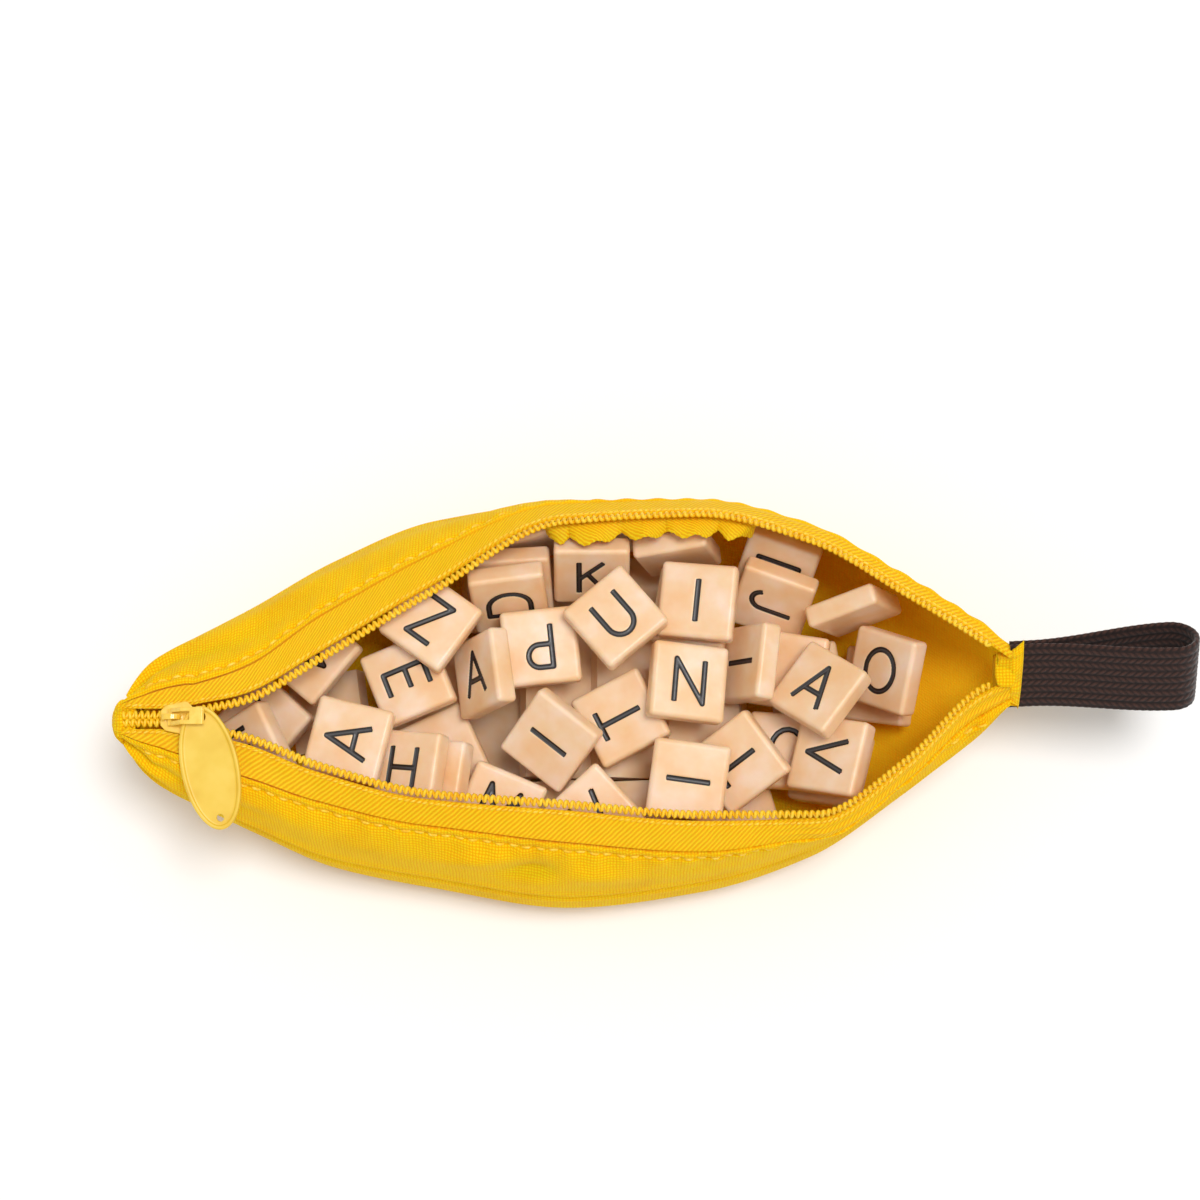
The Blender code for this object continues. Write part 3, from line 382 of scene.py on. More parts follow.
def surface(x, around):
    """Outer surface of the pouch: x along it, around from 0 at the back rim to 11."""
    ys, zs = section_keys(x)
    knot_shade = np.arange(LAST_KEY + 1)
    columns = np.broadcast_to(x, around.shape)
    return np.stack([columns, monotone(knot_shade, ys, around), monotone(knot_shade, zs, around)], axis=-1)


def full_turn(count):
    """Even angles round a full turn."""
    return np.arange(count) * 2 * pi / count


def unit(vectors):
    """Vectors divided by their lengths."""
    return vectors / np.maximum(np.linalg.norm(vectors, axis=-1, keepdims=True), 1e-12)


def outward(x, around):
    """Unit normals of the outer surface, from small steps both ways on it."""
    step, part = SEAM_GAP, 1e-3
    after, before = (np.clip(around + way * part, 0, LAST_KEY) for way in (1, -1))
    across = surface(x, after) - surface(x, before)
    lengthwise = surface(x + step, around) - surface(x - step, around)
    return unit(np.cross(lengthwise, across))


print("pouch is", round(2 * HALF_LENGTH / MM), "mm long")

# %% [markdown]
# ## From a grid of points to a mesh
#
# Every new surface below is a grid of points, row by row, worked out as whole arrays.
# A grid may close on itself along its rows or its columns, as a tube does. The faces
# are counted out with array arithmetic too, so a dense cloth takes no longer to make
# than a coarse one. Each piece then gets its finish, rides on a body of the model and
# stands for the solids that it dresses.

# %% Helpers for meshes
def grid_faces(rows, columns, close_rows=False, close_columns=False):
    """Quads of a grid: (r, c), (r, c+1), (r+1, c+1), (r+1, c), counted row by row."""
    row, column = np.meshgrid(np.arange(rows if close_rows else rows - 1),
                              np.arange(columns if close_columns else columns - 1),
                              indexing="ij")
    below, right = (row + 1) % rows, (column + 1) % columns
    quads = np.stack([row * columns + column, row * columns + right,
                      below * columns + right, below * columns + column], axis=-1)
    return quads.reshape(-1, 4).tolist()


def closed_tube(rows, columns):
    """Faces of a tube whose first and last rings are filled, all turned the same way."""
    ring = np.arange(columns)
    ends = [ring[::-1].tolist(), (ring + (rows - 1) * columns).tolist()]
    return grid_faces(rows, columns, close_columns=True) + ends


def closed_mesh(name, points, faces):
    """A mesh from points and faces, turned outward if its volume comes out below zero.

    The volume is the sum over the faces, fanned into triangles, of a . (b x c) / 6.
    """
    mesh = bpy.data.meshes.new(name)
    mesh.from_pydata(np.reshape(points, (-1, 3)).tolist(), [], faces)
    mesh.calc_loop_triangles()
    corners = np.empty(len(mesh.loop_triangles) * 3, int)
    mesh.loop_triangles.foreach_get("vertices", corners)
    places = np.empty(len(mesh.vertices) * 3)
    mesh.vertices.foreach_get("co", places)
    a, b, c = places.reshape(-1, 3)[corners].reshape(-1, 3, 3).transpose(1, 0, 2)
    if (a * np.cross(b, c)).sum() < 0:
        mesh.flip_normals()
    return mesh


def add_piece(name, points, faces, materials, body, replaced=(), uv=None, marks=None,
              second=None, sharp=50, bend=None):
    """Make one finished piece at the origin, with its place in its mesh.

    uv and marks hold values for each point, marks under a name. Faces from the number
    second on take the second material. With bend given, the piece stays where it is, with
    its place baked into its mesh, and is not attached to its body.
    """
    mesh = closed_mesh(name, points, faces)
    if uv is not None:
        corners = np.empty(len(mesh.loops), int)
        mesh.loops.foreach_get("vertex_index", corners)
        layer = mesh.uv_layers.new(name="cloth")
        layer.data.foreach_set("uv", np.asarray(uv).reshape(-1, 2)[corners].ravel())
    if marks is not None:
        attribute = mesh.attributes.new(marks[0], "FLOAT", "POINT")
        attribute.data.foreach_set("value", np.asarray(marks[1], np.float32).ravel())
    for material in materials:
        mesh.materials.append(material)
    if second is not None:
        which = (np.arange(len(mesh.polygons)) >= second).astype(int)
        mesh.polygons.foreach_set("material_index", which)
    mesh.shade_smooth()
    mesh.set_sharp_from_angle(angle=radians(sharp))
    piece = in_scene(name, mesh)
    if bend:
        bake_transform(piece)
    else:
        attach(piece, body)
    if replaced:
        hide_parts(*replaced)
    print(f"{name}: {len(mesh.vertices)} points, {len(mesh.polygons)} faces")


def run_of(points, axis=0):
    """Length walked along a grid of points in one direction, from zero."""
    steps = np.linalg.norm(np.diff(points, axis=axis), axis=-1)
    first = np.zeros_like(np.take(steps, [0], axis=axis))
    return np.concatenate([first, np.cumsum(steps, axis=axis)], axis=axis)


def rings_round(centres, radii, side, up, count):
    """Rings of points: each centre plus its radius times (cos side + sin up)."""
    turn = full_turn(count)[:, None]
    return centres[..., None, :] + radii[..., None, None] * (
        np.cos(turn) * side[..., None, :] + np.sin(turn) * up[..., None, :])


def read_at(places, run, values):
    """Each column of a table, known along a run, read at other places on the run."""
    return np.stack([np.interp(places, run, column) for column in values.T], axis=-1)


def print_gap(points, node):
    """Print how far a piece's box stands off the box of its solid."""
    low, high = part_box(node)
    print(node, "is replaced with gaps in mm of", np.round((points.min(0) - low) / MM, 2),
          np.round((points.max(0) - high) / MM, 2))


def bump(distance, width):
    """A soft hump, exp(-(distance / width) squared)."""
    return np.exp(-(distance / width) ** 2)


# %% [markdown]
# ## Canvas
#
# The panels are plain-woven cotton canvas, dyed a warm yellow, matt and slightly fuzzy.
# A plain weave is one thread over, one under both ways, so its height is the product of
# two sines, one along each thread direction: crowns where a thread lies on top and pits
# between. The real threads are about half a millimetre apart. That is finer than a
# pixel of the picture, so they are drawn .8 mm apart, with a painted highlight on the
# crowns and painted shade in the pits. The weave reads the panel's own UV map, in metres,
# so it follows the cloth. Large soft noise stands for uneven dye and handling.

# %% Canvas materials
THREAD_PITCH = .8 * MM
WAVE_UNIT = pi / 10


def weave_height(material, pitch, stray):
    """Height of a plain weave, |sin(pi u / p) sin(pi v / p)|, with stray threads."""
    uv = add_node(material, "UVMap")
    waves = [add_node(material, "TexWave", {
        "Vector": uv, "Scale": WAVE_UNIT / (2 * pitch), "Distortion": stray,
        "Detail": 2, "Detail Scale": 2}, bands_direction=way).outputs["Fac"] for way in "XY"]
    signed = [add_node(material, "Math", {0: wave, 1: 2, 2: -1}, operation="MULTIPLY_ADD")
              for wave in waves]
    product = add_node(material, "Math", {0: signed[0], 1: signed[1]}, operation="MULTIPLY")
    return add_node(material, "Math", {0: product}, operation="ABSOLUTE")


def multiplied(material, factor, first, second):
    """The colour of two colours multiplied, by a factor."""
    return add_node(material, "Mix", {0: factor, 6: first, 7: second},
                    data_type="RGBA", blend_type="MULTIPLY").outputs[2]


def cloth_material(name, stops, pitch, stray, depth, glow, spread):
    """Woven cloth: painted shade and highlight by weave height, blotches of dye and a raised
    weave.

    The glow is the share of light that goes into the thin cloth and comes out on its
    other side, which makes the inside of the pouch shine orange. It spreads that far.
    """
    material = new_material(name, stops[1][1], .9, {
        "Sheen Weight": .04, "Sheen Roughness": .5, "Specular IOR Level": .08,
        "Subsurface Weight": glow, "Subsurface Radius": (1, .55, .05), "Subsurface Scale": spread})
    height = weave_height(material, pitch, stray)
    blotch = mottle(material, 14 * MM, 4)
    dye = add_node(material, "ValToRGB", {"Fac": blotch}, [
        (.30, "#F7F2EA"), (.5, "#FFFDF8"), (.70, "#FFFFFF")])
    # Colour by weave height: painted shade in the pits, painted highlight on the crowns
    weave_shade_and_highlight = add_node(material, "ValToRGB", {"Fac": height}, stops)
    raised = add_node(material, "Bump", {"Height": height, "Strength": .55, "Distance": depth})
    finish(material, {"Base Color": multiplied(material, 1, weave_shade_and_highlight, dye), "Normal": raised})
    return material


# Each ramp runs from the painted shade of the pits to the painted highlight of the crowns
canvas = cloth_material("plain_woven_yellow_canvas", [
    (.0, "#F4AC00"), (.35, "#FEC402"), (.9, "#FFD81C")], THREAD_PITCH, 1.2, .22 * MM, .4, 1.8 * MM)
# The inside of the cloth is a lighter copy of the canvas, painted light for the shaded inside of
# the pouch, with a softer weave
canvas_inside_painted_light = cloth_material("brushed_inside_of_canvas_painted_lighter", [
    (.0, "#FFC012"), (.35, "#FFC818"), (.9, "#FFCE20")], THREAD_PITCH, 3.0, .10 * MM, .3, 4 * MM)
print("canvas threads", THREAD_PITCH / MM, "mm apart")

# %% [markdown]
# ## The sewn panels
#
# Each panel is a cut piece of canvas, folded over the zip tape at its upper edge and
# top-stitched, and joined to the base panel by a welt seam. What the eye reads as cloth
# is the relief: the fold stands proud of the tape, the stitching pulls a narrow channel
# with puckers running off it, the welt seam is a groove between two soft ridges, and
# broad folds fan out from both tips, where the cloth is gathered. Each of these is a
# term of one height function, added along the normal of the loft. A simulation could
# make folds too, but not where the photograph has them.

# %% The height of the cloth over the loft
STITCH_INSET = 2.1 * MM
TOPSTITCH_PITCH = 3.3 * MM
NEEDLE_DEPTH = .45 * MM
FOLD_RISE = .50 * MM
CHANNEL_DEPTH = .42 * MM
PUCKER_HEIGHT = .34 * MM
PUCKER_LENGTH = 7.2 * MM
WELT_HEIGHT = .55 * MM
WELT_INSET = 2.3 * MM
TIP_FOLD_HEIGHT = 1.3 * MM
TIP_FOLD_REACH = 17 * MM
TIP_ROUNDING = 9 * MM
TIP_ROLL = 3.4 * MM

# Broad folds: place along, place round the section, length, width, lean and height
FOLD_SHARES = (
    (-.075, 9.10, .065, .30, .030, -3.4),
    (-.19, 9.35, .080, .24, .050, 1.6),
    (.05, 9.15, .090, .30, -.02, 1.3),
    (.30, 9.20, .160, .30, .030, -.5),
    (-.62, 9.25, .120, .28, .05, .75),
    (-.74, 8.85, .120, .24, .08, -.8),
    (.925, 9.40, .045, .42, .00, 2.8),
    (.80, 9.35, .100, .30, -.06, -.6),
    (-.80, 1.75, .140, .22, -.05, -.9),
    (-.68, 2.10, .160, .24, -.04, .7),
    (-.35, 2.20, .200, .30, -.03, -.5),
    (-.05, 2.10, .180, .35, .03, .5),
    (.45, 2.20, .200, .30, .03, -.6),
    (.72, 1.90, .150, .26, .04, .6),
)


def tip_folds(x, around):
    """Folds that fan out from each tip and die away along the pouch.

    Their height is sin(k times the place round the section), times an exponential of
    the distance from the tip, with a second, finer set between them.
    """
    left = np.exp(-(x - LEFT_END) / TIP_FOLD_REACH)
    right = np.exp(-(RIGHT_END - x) / (TIP_FOLD_REACH * .7))
    coarse = np.sin(around * 4.4 + 38 * x) + .45 * np.sin(around * 9.1 - 30 * x + 1.3)
    return TIP_FOLD_HEIGHT * coarse * (left + .6 * right)


def broad_folds(x, around):
    """Long humps and hollows: a hump across, faded at both ends, and leaning."""
    height = np.zeros(np.broadcast(x, around).shape)
    for place, ring, length, width, lean, rise in FOLD_SHARES:
        ahead = x / HALF_LENGTH - place
        aside = around - ring - ahead / max(length, .01) * lean * 4
        height = height + rise * MM * bump(ahead, length) * bump(aside, width)
    return height


def tip_roll(x):
    """The cloth rolls inward over the last millimetres of each tip."""
    left = np.clip(1 - (x - LEFT_END) / TIP_ROUNDING, 0, 1)
    right = np.clip(1 - (RIGHT_END - x) / TIP_ROUNDING, 0, 1)
    return -TIP_ROLL * (left ** 2.2 + .45 * right ** 2.2)


def canvas_height(x, around, first, last, sewn):
    """Height over the loft, from the distances to the panel's first and last edges.

    The first edge is topstitched for sewn 1 and the last for -1. The others are welts.
    """
    stitched = {1: [first], -1: [last], 0: []}[sewn]
    welted = {1: [last], -1: [first], 0: [first, last]}[sewn]
    height = broad_folds(x, around) + tip_folds(x, around) + tip_roll(x)
    wander = np.sin(53 * x) + .6 * np.sin(131 * x + 1)
    for away in stitched:
        off_row = away - STITCH_INSET
        near_edge = 1 - .85 * bump(away, 1.4 * STITCH_INSET)
        height = height * near_edge + FOLD_RISE * bump(away - .3 * STITCH_INSET, 1.3 * MM)
        height = height - CHANNEL_DEPTH * bump(off_row, .75 * MM)
        needle = np.abs(np.mod(x / TOPSTITCH_PITCH, 1) - .5) * TOPSTITCH_PITCH
        height = height - NEEDLE_DEPTH * bump(needle, .55 * MM) * bump(off_row, .6 * MM)
        ripples = np.sin(2 * pi * x / PUCKER_LENGTH + 1.7 * wander + off_row * 60)
        height = height + PUCKER_HEIGHT * ripples * bump(off_row - 1.2 * MM, 3.6 * MM)
    for away in welted:
        height = height * (1 - .8 * bump(away, 2.5 * MM))
        height = height + WELT_HEIGHT * bump(away - WELT_INSET, 1.5 * MM)
        gather = 1 + .35 * np.sin(2 * pi * x / (6.1 * MM) + 1.3 * wander)
        height = height - .35 * MM * gather * bump(away, .9 * MM)
    return height


# %% [markdown]
# ## Two layers make a piece of cloth
#
# A panel is a closed skin: an outer grid, an inner grid one cloth thickness in, and the
# narrow strips that join them. The grid is one tube whose section runs down the outside
# and back up the inside. The inside keeps close to the loft, since the tiles lie on it.

# %% Making a panel
def skin(outer, inner):
    """A closed skin from two grids: down the outer one, up the inner one, ends joined."""
    rows, columns = outer.shape[:2]
    faces = grid_faces(2 * rows, columns, close_rows=True)
    first = np.arange(rows - 1)
    pair = np.stack([first, first + 1, 2 * rows - 2 - first, 2 * rows - 1 - first], axis=-1)
    ends = [*(pair * columns).tolist(), *(pair[:, ::-1] * columns + columns - 1).tolist()]
    return np.concatenate([outer, inner[::-1]]), faces + ends


COLUMNS_LONG = 760
FLOOR_EASING = 6 * MM
CROWDING = 1.6
LEAST_CLOTH = .3 * MM


def fine_columns(count):
    """Places along the pouch, a little closer together toward the tips."""
    even = np.linspace(-1, 1, count)
    eased = .55 * even + .45 * np.sin(even * pi / 2)
    return (LEFT_END + RIGHT_END) / 2 + (RIGHT_END - LEFT_END) / 2 * eased


def cloth_panel(name, start, end, rows, columns, thickness, height, materials, node,
                sewn=0):
    """A panel between two key lines, trimmed by half a seam gap where it meets another.

    Its rows crowd toward the topstitched edge: the first for sewn 1, the last for -1.
    """
    x = fine_columns(columns)
    shares = np.linspace(0, 1, rows)[:, None]
    shares = {0: shares, 1: shares ** CROWDING, -1: 1 - (1 - shares) ** CROWDING}[sewn]
    around = start + (end - start) * np.broadcast_to(shares, (rows, columns))
    flat = surface(x, around)
    walked = run_of(flat)
    total = walked[-1:]
    trim = SEAM_GAP / 2 / np.maximum(total, MM) * (end - start)
    around = around + (trim if start > 0 else 0) * (1 - shares)
    around = around - (trim if end < LAST_KEY else 0) * shares
    flat = surface(x, around)
    normals = outward(x, around)
    rise = height(x[None, :], around, walked, total - walked, sewn)
    rise = rise * np.clip(flat[..., 2] / FLOOR_EASING, 0, 1)
    outer = flat + rise[..., None] * normals
    inside_rise = np.clip(.25 * rise, -.25 * MM, .1 * MM)
    inner = flat + (inside_rise - thickness)[..., None] * normals
    inner = np.where(((rise - inside_rise) < LEAST_CLOTH - thickness)[..., None],
                     outer - LEAST_CLOTH * normals, inner)
    ahead = run_of(outer, axis=1)[rows // 2]
    uv = np.stack([np.broadcast_to(ahead, walked.shape), run_of(outer)], axis=-1)
    points, faces = skin(outer, inner)
    add_piece(name, points, faces, materials, "pouch", (node,),
              uv=np.concatenate([uv, uv[::-1]]), second=rows * (columns - 1))
    return outer, normals, walked


grids = {}
for side, start, end, rows, columns, sewn in (
        ("back", STITCH_KEY, SEAM_KEY, 60, COLUMNS_LONG, 1),
        ("front", LAST_KEY - SEAM_KEY, LAST_KEY - STITCH_KEY, 60, COLUMNS_LONG, -1),
        ("base", SEAM_KEY, LAST_KEY - SEAM_KEY, 90, 400, 0)):
    grids[side] = cloth_panel("canvas_" + side, start, end, rows, columns, CLOTH, canvas_height,
                              [canvas, canvas_inside_painted_light], side + "_panel", sewn)

# %% [markdown]
# ## Zip tape
#
# The tape between the teeth and the canvas is a satiny twill, woven so that its ribs
# run slantwise. A wave along a UV that is turned by 45 degrees draws them, as relief and
# as colour: painted shade in the grooves and a painted highlight on the crests. The tape is
# not quite flat: it dips between the teeth and the fold of the canvas, and on the right
# it is crushed into two long ridges. Its outer edge runs on under the canvas.

# %% The tape's finish and form
TWILL_PITCH = .9 * MM
TAPE_DIP = .32 * MM
TAPE_RIDGE = .55 * MM
TAPE_DIVE = 1.7 * MM
TAPE_UNDER_SHARE = .22

tape_finish = new_material("twill_woven_zip_tape", "#F9BC02", .62, {
    "Sheen Weight": .03, "Sheen Roughness": .4, "Specular IOR Level": .15,
    "Subsurface Weight": .4, "Subsurface Radius": (1, .50, .03), "Subsurface Scale": 2 * MM})
slant = add_node(tape_finish, "Mapping", {
    "Vector": add_node(tape_finish, "UVMap"), "Rotation": (0, 0, radians(45))})
twill = add_node(tape_finish, "TexWave", {
    "Vector": slant, "Scale": WAVE_UNIT / TWILL_PITCH, "Distortion": 1.5,
    "Detail": 2}, bands_direction="X").outputs["Fac"]
# Colour by rib height: painted shade in the grooves, painted highlight on the crests
finish(tape_finish, {
    "Base Color": add_node(tape_finish, "ValToRGB", {"Fac": twill}, [
        (.0, "#EFA800"), (.5, "#F9BC02"), (1., "#FFD01C")]),
    "Normal": add_node(tape_finish, "Bump", {
        "Height": twill, "Strength": .5, "Distance": .16 * MM})})


def tape_height(x, around, *edges):
    """A dip along the middle, plus two crushed ridges that fade in toward the right.

    Past the stitched edge it dives under the canvas, which is sewn over it.
    """
    share = np.clip(np.where(around < LAST_KEY / 2, around, around - LAST_KEY + 1), 0, 1)
    past = np.clip((np.minimum(around, LAST_KEY - around) - STITCH_KEY + .03) / .08, 0, 1)
    crushed = np.clip((x - .35 * HALF_LENGTH) / (.3 * HALF_LENGTH), 0, 1)
    wander = .07 * np.sin(47 * x)
    ridges = bump(share - .36 - wander, .09) + .8 * bump(share - .70 + wander, .08)
    ripple = .10 * MM * np.sin(2 * pi * x / (8.3 * MM) + 2 * np.sin(61 * x)) * np.sin(pi * share)
    dive = TAPE_DIVE * (3 - 2 * past) * past ** 2
    return -TAPE_DIP * np.sin(pi * share) + TAPE_RIDGE * crushed * ridges + ripple - dive


hidden_edge = STITCH_KEY + TAPE_UNDER_SHARE
for side, start, end in (("back", 0, hidden_edge), ("front", LAST_KEY - hidden_edge, LAST_KEY)):
    cloth_panel("tape_" + side, start, end, 26, COLUMNS_LONG, TAPE_THICKNESS, tape_height,
                [tape_finish, tape_finish], side + "_zip_tape")

# %% [markdown]
# ## Stitching
#
# A lockstitch shows as a row of short threads that come out of one needle hole and dive
# into the next. Each is a small closed spindle whose ends sink into the cloth. All of
# them are worked out at once: the places along the row are one axis of the array, the
# rings of a spindle the next and its sides the last.

# %% A row of stitches
thread_finish = new_material("polyester_sewing_thread", "#FFCF33", .55)
mottle(thread_finish, .9 * MM, 2, [(.3, "#F6B808"), (.5, "#FFD026"), (.7, "#FFE05C")])

SPINDLE_SIDES = 6
SPINDLE_PLACES = np.array([-1, -.86, -.4, .4, .86, 1])
SPINDLE_GIRTHS = np.array([.35, .75, 1, 1, .75, .35])


def stitch_row(name, line, normals, pitch, length, radius, sink, slant_share=0, by_x=False):
    """Spindles along a line: each girth follows a table, and the ends dive by sink.

    They stand a pitch apart along the line, or with by_x at whole pitches of X, which
    is where the canvas has its needle holes.
    """
    run = run_of(line)
    if by_x:
        first = np.ceil(line[0, 0] / pitch) + 1
        middles = np.interp(np.arange(first, line[-1, 0] / pitch - 1) * pitch, line[:, 0], run)
    else:
        middles = np.arange(pitch, run[-1] - pitch, pitch)
    places = middles[:, None] + SPINDLE_PLACES * length / 2
    up = unit(read_at(places, run, normals))
    ahead = unit(read_at(places, run, np.gradient(line, axis=0)))
    side = unit(np.cross(up, ahead))
    dive = sink * (SPINDLE_PLACES ** 4 - .35)
    centre = read_at(places, run, line) - dive[:, None] * up
    centre = centre + (slant_share * length / 2 * SPINDLE_PLACES)[:, None] * side
    rings = rings_round(centre, radius * SPINDLE_GIRTHS, side, up, SPINDLE_SIDES)
    per = len(SPINDLE_PLACES) * SPINDLE_SIDES
    starts = np.arange(len(middles))[:, None, None] * per
    quads = np.array(grid_faces(len(SPINDLE_PLACES), SPINDLE_SIDES, close_columns=True)) + starts
    ring = np.arange(SPINDLE_SIDES)
    caps = np.array([ring[::-1], per - SPINDLE_SIDES + ring]) + starts
    faces = quads.reshape(-1, 4).tolist() + caps.reshape(-1, SPINDLE_SIDES).tolist()
    add_piece(name, rings, faces, [thread_finish], "pouch", sharp=180)


def line_at(grid, distance, from_last=False):
    """The line on a panel at a distance from its first or last edge, and its normals."""
    points, normals, walked = (values[::-1] if from_last else values for values in grid)
    depth = np.abs(walked - walked[:1])
    column = np.arange(depth.shape[1])
    row = np.clip((depth < distance).sum(axis=0), 1, len(depth) - 1)
    near, far = depth[row - 1, column], depth[row, column]
    share = np.clip((distance - near) / (far - near), 0, 1)[:, None]
    line = points[row - 1, column] * (1 - share) + points[row, column] * share
    return line, normals[row, column]


TOPSTITCH_LENGTH = 2.5 * MM
TOPSTITCH_RADIUS = .33 * MM
TOPSTITCH_SINK = .42 * MM
BARE_COLUMNS = 8
for side, from_last in (("back", False), ("front", True)):
    line, normals = (values[BARE_COLUMNS:-BARE_COLUMNS]
                     for values in line_at(grids[side], STITCH_INSET, from_last))
    stitch_row("topstitching_" + side, line, normals, TOPSTITCH_PITCH, TOPSTITCH_LENGTH,
               TOPSTITCH_RADIUS, TOPSTITCH_SINK, by_x=True)

# %% [markdown]
# ## The coil
#
# The zip is a nylon coil: on each side one stiff filament wound round and round along
# the tape's edge, with a turn each 1.5 mm. Toward the middle each turn has a rounded
# head that locks between two heads of the other side. The slider has closed only the
# first few millimetres. A filament is a tube carried along a flattened helix.

# %% The nylon's finish
coil_finish = new_material("moulded_nylon_coil", "#FDC51E", .38, {
    "Subsurface Weight": .15, "Subsurface Radius": (1, .5, .15), "Subsurface Scale": .8 * MM})
mottle(coil_finish, 4 * MM, 2, [(.3, "#F9BE0A"), (.5, "#FFCB18"), (.7, "#FFD634")])

# %% Winding the coils
FILAMENT = .47 * MM
STEPS_A_TURN = 12
FILAMENT_SIDES = 6
LEG_LEAN = .75
SEAM_INSET = .75 * MM
SEAM_STITCH_LENGTH = 1.25 * MM
SEAM_STITCH_RADIUS = .30 * MM


def edge_track(side):
    """The tape's edge as a line, with the ways up and toward the other side of the zip."""
    x = np.linspace(LEFT_END + .3 * MM, CHAIN_END_SHARE * HALF_LENGTH, 1200)
    ring = np.full((1, len(x)), 0.0 if side > 0 else LAST_KEY)
    up = outward(x, ring)[0]
    line = surface(x, ring)[0] - up * TAPE_THICKNESS / 2
    ahead = unit(np.gradient(line, axis=0))
    inward = unit(side * np.cross(ahead, up))
    return line, unit(side * np.cross(inward, ahead)), inward, ahead


def wind_coil(name, side, node):
    """A flattened helix: in by (1 - cos) / 2 of its width, up by sin of its height.

    It goes forward mostly on its underside, so its upper legs stand square to the tape.
    The line of the seam that holds the coil down, and its normals, are given back.
    """
    line, up, inward, ahead = edge_track(side)
    run = run_of(line)
    turns = int(run[-1] / TOOTH_PITCH) - 1
    even = np.linspace(0, turns * TOOTH_PITCH, turns * STEPS_A_TURN + 1)
    angle = 2 * pi * even / TOOTH_PITCH + (0 if side > 0 else pi)
    places = np.clip(even + LEG_LEAN * TOOTH_PITCH / (2 * pi) * np.cos(angle), 0, None)
    near = SEAM_GAP + FILAMENT
    far = SEAM_GAP + CHAIN_HALF_WIDTH + TOOTH_OVERLAP - FILAMENT
    reach = (1 - np.cos(angle)) / 2
    across = near + (far - near) * reach ** .8
    rise = (CHAIN_THICKNESS / 2 - FILAMENT) * np.sin(angle)
    path = (read_at(places, run, line) + across[:, None] * read_at(places, run, inward)
            + rise[:, None] * read_at(places, run, up))
    forward = unit(np.gradient(path, axis=0))
    beside = unit(np.cross(forward, read_at(places, run, ahead)))
    rings = rings_round(path, FILAMENT * (.92 + .12 * reach), beside,
                        np.cross(beside, forward), FILAMENT_SIDES)
    add_piece(name, rings, closed_tube(len(path), FILAMENT_SIDES), [coil_finish], "pouch",
              (node,), sharp=180)
    return line + up * (TAPE_THICKNESS / 2) - inward * SEAM_INSET, up


for edge, side in (("back", 1), ("front", -1)):
    name = "zip_coil_" + edge
    seam_line, seam_up = wind_coil(name, side, edge + "_zip_teeth")
    stitch_row(name + "_stitching", seam_line, seam_up, TOOTH_PITCH, SEAM_STITCH_LENGTH,
               SEAM_STITCH_RADIUS, .12 * MM, .35)

# %% [markdown]
# ## Slider, link and tab
#
# The slider and its link are die-cast zinc under glossy yellow enamel. Their solids have
# the right shape, so they stay and get the enamel, and their sharp edges are softened as
# casting and paint do, by a fine remesh and some smoothing. The tab is soft plastic: an
# oval with a raised rim round a sunk, bare field. It is a set of ovals, one inside the
# other, each with its own height, and the two holes are cut through afterwards.

# %% Enamel and soft plastic
enamel = new_material("yellow_enamel_on_die_cast_zinc", "#F6C83C", .30, {
    "Coat Weight": .5, "Coat Roughness": .12, "Specular IOR Level": .5})
mottle(enamel, 1.6 * MM, 3, [(.3, "#EFBE2E"), (.5, "#F6CA40"), (.7, "#FAD455")], .15, .06 * MM)
CAST_GRAIN = .11 * MM
for node in ("slider_body", "pull_link"):
    solid = frame["nodes"][node]
    solid.data.materials.clear()
    solid.data.materials.append(enamel)
    cast = solid.modifiers.new("cast", "REMESH")
    cast.mode = "VOXEL"
    cast.voxel_size = CAST_GRAIN
    cast.use_smooth_shade = True
    rounding = solid.modifiers.new("rounding", "SMOOTH")
    rounding.factor = .5
    rounding.iterations = 5

rubber = new_material("moulded_soft_vinyl", "#F8D765", .42, {
    "Subsurface Weight": .12, "Subsurface Radius": (1, .6, .2), "Subsurface Scale": 1.5 * MM})
mottle(rubber, .35 * MM, 3, strength=.2, depth=.03 * MM)
mottle(rubber, 6 * MM, 2, [(.3, "#E6BC34"), (.5, "#ECC53F"), (.7, "#F0CB4C")])

# %% The tab
TAB_SIDES = 120
TAB_TURN = radians(12)
TAB_DROOP = radians(9)
DRILL_SIDES = 32
DRILL_REACH = 3 * MM

# How far in from the tab's edge and how high, in mm: the underside, then the rim and field
TAB_PROFILE = ((1.2, -.75), (.45, -.75), (.2, -.68), (.05, -.5), (0, -.35),
               (0, .35), (.04, .52), (.14, .66), (.32, .74), (.55, .75), (.80, .72),
               (.96, .62), (1.06, .42), (1.12, .30), (1.25, .24), (1.6, .24))


def joint_place(name):
    """Where a joint of the model stands, in the model's frame."""
    joint = next(one for one in frame["joints"] if one["name"] == name)
    return Vector(joint["pos_m"])


def oval_rings(profile):
    """Ovals whose two half axes are each less by the inset, at the profile's heights."""
    turn = full_turn(TAB_SIDES)
    inset, height = np.array(profile).T[..., None] * MM
    x = (TAB_WIDTH / 2 - inset) * np.sin(turn)
    y = (TAB_LENGTH / 2 - inset) * np.cos(turn)
    return np.stack([x, y, np.broadcast_to(height, x.shape)], axis=-1)


